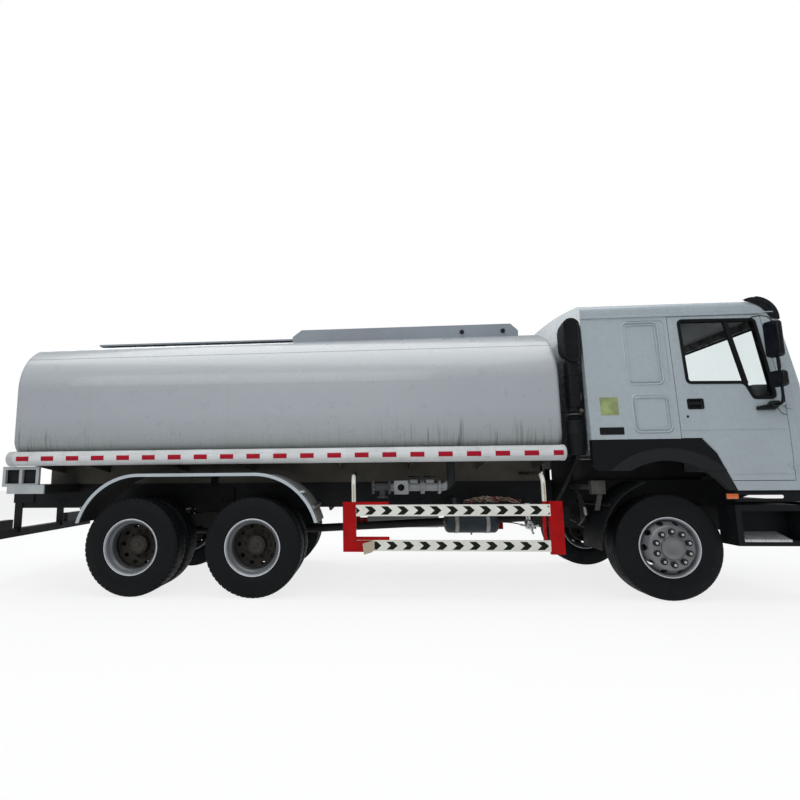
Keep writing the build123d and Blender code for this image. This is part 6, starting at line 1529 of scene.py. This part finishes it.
BOLT_ROWS = [x * 0.001 for x in range(-3900, 2200, 300)]
for side, name in SIDES:
    bolts(f"frame_bolts_{name}", [(x + dx, side * 0.5005, z) for x in BOLT_ROWS for dx in (0.0, 0.06)
                                  for z in (0.975, 1.15)], (0, side, 0), "chassis", "chassis", 0.01, 0.01)
for axle, x in (("middle", MIDDLE_X), ("rear", REAR_X)):
    parts = []
    for side in (-1, 1):
        way = 1 if axle == "middle" else -1
        place = Vector((x + way * 0.215, side * 0.33, 0.7))
        parts.append(knob("chamber", [(-0.14, 0.062), (-0.128, 0.074), (-0.06, 0.076), (-0.055, 0.084),
                                      (-0.045, 0.084), (-0.04, 0.076), (0.0, 0.074), (0.01, 0.082), (0.02, 0.082),
                                      (0.03, 0.072), (0.08, 0.062), (0.096, 0.03), (0.14, 0.018)], place,
                          (0.15 * way, side, 0.1), 32))
        for dx in (-0.062, 0.062):
            parts.append(pipe("u_bolt", across(side,
                                               [(x + dx, 0.455, 0.64), (x + dx, 0.455, 0.82), (x + dx, 0.505, 0.846),
                                                (x + dx, 0.555, 0.82), (x + dx, 0.555, 0.64)]), 0.011, 3))
        parts.append(pipe("brake_hose", across(side,
                                               [(x + way * 0.215, 0.3, 0.77), (x + way * 0.215, 0.31, 0.86),
                                                (x + way * 0.15, 0.38, 0.93), (x + way * 0.1, 0.425, 0.96)]), 0.01,
                          3))
    fit(joined(f"brake_gear_{axle}", parts), "chassis", "axle")
parts = []
for side in (-1, 1):
    parts.append(knob("chamber", [(-0.07, 0.06), (-0.058, 0.074), (-0.01, 0.076), (-0.004, 0.084), (0.006, 0.084),
                                  (0.01, 0.074), (0.06, 0.05), (0.09, 0.018)], (FRONT_X - 0.13, side * 0.59, 0.615),
                      (0.05, side, 0), 32))
    for dx in (-0.055, 0.055):
        parts.append(pipe("u_bolt", across(side, [(FRONT_X + dx, 0.395, 0.48), (FRONT_X + dx, 0.395, 0.7),
                                                  (FRONT_X + dx, 0.435, 0.722), (FRONT_X + dx, 0.475, 0.7),
                                                  (FRONT_X + dx, 0.475, 0.48)]), 0.01, 3))
fit(joined("brake_gear_front", parts), "chassis", "axle")

# ------------------------------------------------------------------ tank top, rear and mudguards

MANHOLE_X, CLAMP_RING = 1.45, 0.247
clamps = []
for k in range(6):
    a = 2 * pi * k / 6 + pi / 6
    x, y = MANHOLE_X + CLAMP_RING * cos(a), CLAMP_RING * sin(a)
    clamps.append(knob("clamp_knob", [(0, 0.011), (0.012, 0.011), (0.014, 0.019), (0.026, 0.019), (0.029, 0.01)],
                       (x, y, 3.118), (0, 0, 1), 8))
clamps.append(pipe("lid_grip", [(1.38, -0.09, 3.135), (1.38, -0.085, 3.165), (1.38, 0.0, 3.172), (1.38, 0.085, 3.165),
                                (1.38, 0.09, 3.135)], 0.008, 3))
fit(joined("manhole_clamps", clamps), "manhole_cover", "iron")
knobs = [turned("coaming_knob", [(0, 0.001), (0, 0.026), (0.02, 0.028), (0.034, 0.018), (0.036, 0.001)],
                (x, -0.33, 3.088), (0, -1, 0), 20) for x in (1.247, 1.756)]
fit(joined("coaming_knobs", knobs), "chassis", "lamp_housing")
for side, name in SIDES:
    holder = [block("mud_clip", (-0.722, side * 1.15 - 0.105, 1.105), (-0.668, side * 1.15 + 0.1, 1.127), 0.004),
              turned("mud_clip_bolt", [(0, 0.001), (0, 0.012), (0.012, 0.012), (0.014, 0.001)],
                     (-0.695, side * 1.25, 1.116), (0, side, 0), 6)]
    fit(joined(f"mudguard_clip_{name}", holder), "chassis", "white_steel")
    lamp_y = side * 0.78
    for look, first, last in (("amber", -0.205, -0.08), ("red_lens", -0.072, 0.085), ("clear_lens", 0.093, 0.205)):
        y0, y1 = sorted((lamp_y + side * first, lamp_y + side * last))
        piece = block(f"tail_{look}_{name}", (-4.53, y0, 0.658), (-4.512, y1, 0.762), 0.006, 3)
        fit(piece, "chassis", look)

# ------------------------------------------------------------------ seats and bunk


def pad(name, low, high, turn, about, body, look, voxel, swell, *stands_for):
    """A stuffed pad: blown up from a smaller block, kept near it, then smoothed once."""
    low, high = Vector(low), Vector(high)
    core = block(name, low + Vector((swell, swell, swell)), high - Vector((swell, swell, swell)), 0.03, 3)
    modify(core, "REMESH", mode="VOXEL", voxel_size=voxel)
    first = [vertex.co.copy() for vertex in core.data.vertices]
    only(core)
    sim = core.modifiers.new("stuffing", "CLOTH")
    sim.settings.use_pressure = True
    sim.settings.uniform_pressure_force = 4.0
    sim.settings.effector_weights.gravity = 0.0
    sim.settings.quality = 4
    sim.point_cache.frame_end = 20
    for number in range(1, 21):
        scene.frame_set(number)
    only(core)
    bpy.ops.object.modifier_apply(modifier=sim.name)
    scene.frame_set(1)
    most = swell * 0.95
    for vertex, start in zip(core.data.vertices, first):
        away = vertex.co - start
        if away.length > most:
            vertex.co = start + away * (most / away.length)
    modify(core, "SUBSURF", levels=1)
    if turn:
        centre = Matrix.Translation(Vector(about))
        core.data.transform(centre @ Matrix.Rotation(turn, 4, "Y") @ centre.inverted())
    fit(core, body, look, *stands_for, smooth=0)
    only(core)
    bpy.ops.object.shade_smooth()
    return core


for side, name in SIDES:
    y = side * 0.72
    pad(f"seat_cushion_{name}", (3.13, y - 0.258, 1.68), (3.628, y + 0.258, 1.812), 0, None, "cab", "cloth", 0.016,
        0.022, "seats")
    lean, hinge = radians(-10), (3.12, y, 2.08)
    pad(f"seat_back_{name}", (3.062, y - 0.246, 1.83), (3.18, y + 0.246, 2.392), lean, hinge, "cab", "cloth", 0.016,
        0.02, "seats")
    pad(f"head_rest_{name}", (3.01, y - 0.138, 2.366), (3.092, y + 0.138, 2.534), lean, (3.05, y, 2.45), "cab",
        "cloth", 0.014, 0.014, "seats")
    base = [block("seat_box", (3.205, y - 0.175, 1.5315), (3.555, y + 0.175, 1.61), 0.01),
            block("seat_rail", (3.165, y - 0.215, 1.6), (3.6, y + 0.215, 1.676), 0.014, 3)]
    base += [pipe("rest_post", [(3.064, y + dy, 2.35), (3.054, y + dy, 2.4)], 0.006, 3, smooth=False)
             for dy in (-0.06, 0.06)]
    fit(joined(f"seat_base_{name}", base), "cab", "dash", "seats")
pad("bunk_mattress", (2.4, -1.112, 1.7), (2.95, 1.112, 1.858), 0, None, "cab", "blanket", 0.024, 0.024, "bunk")
fit(block("bunk_box", (2.398, -1.116, 1.5315), (2.952, 1.116, 1.712), 0.012, 3), "cab", "cab_grey", "bunk")

# ------------------------------------------------------------------ floor and sky

clear()
bpy.ops.mesh.primitive_plane_add(size=80, location=(0, 0, 0))
floor = bpy.context.object
floor.name = "studio_floor"
t = Tree("studio_floor")
path = t.node("ShaderNodeLightPath")
seen = t.math("MAXIMUM", path.outputs["Is Camera Ray"],
              t.math("MAXIMUM", path.outputs["Is Glossy Ray"], path.outputs["Is Transmission Ray"]))
t.set(Base_Color=t.mix(t.noise(0.6), rgb(0.8, 0.8, 0.8), rgb(0.84, 0.84, 0.84)), Roughness=0.8,
      Normal=t.bump(t.noise(60.0), 0.05, 0.001))
glow = t.node("ShaderNodeEmission")
glow.inputs["Color"].default_value = rgb(1, 1, 1)
blend = t.node("ShaderNodeMixShader")
t.link(seen * 0.8, blend.inputs[0])
t.link(t.shader.outputs[0], blend.inputs[1])
t.link(glow.outputs[0], blend.inputs[2])
t.link(blend.outputs[0], t.out.inputs["Surface"])
floor.data.materials.append(t.material)

world = bpy.data.worlds.new("studio_sky")
scene.world = world
world.use_nodes = True
tree = world.node_tree
sky = tree.nodes["Background"]
sky.inputs["Color"].default_value = rgb(0.9, 0.95, 1.0)
sky.inputs["Strength"].default_value = 0.42
white = tree.nodes.new("ShaderNodeBackground")
white.inputs["Color"].default_value = rgb(1, 1, 1)
white.inputs["Strength"].default_value = 1.0
path = tree.nodes.new("ShaderNodeLightPath")
first = tree.nodes.new("ShaderNodeMath")
first.operation = "MAXIMUM"
tree.links.new(path.outputs["Is Camera Ray"], first.inputs[0])
tree.links.new(path.outputs["Is Transmission Ray"], first.inputs[1])
join = tree.nodes.new("ShaderNodeMixShader")
tree.links.new(first.outputs[0], join.inputs[0])
tree.links.new(sky.outputs[0], join.inputs[1])
tree.links.new(white.outputs[0], join.inputs[2])
tree.links.new(join.outputs[0], tree.nodes["World Output"].inputs["Surface"])

bpy.context.view_layer.update()
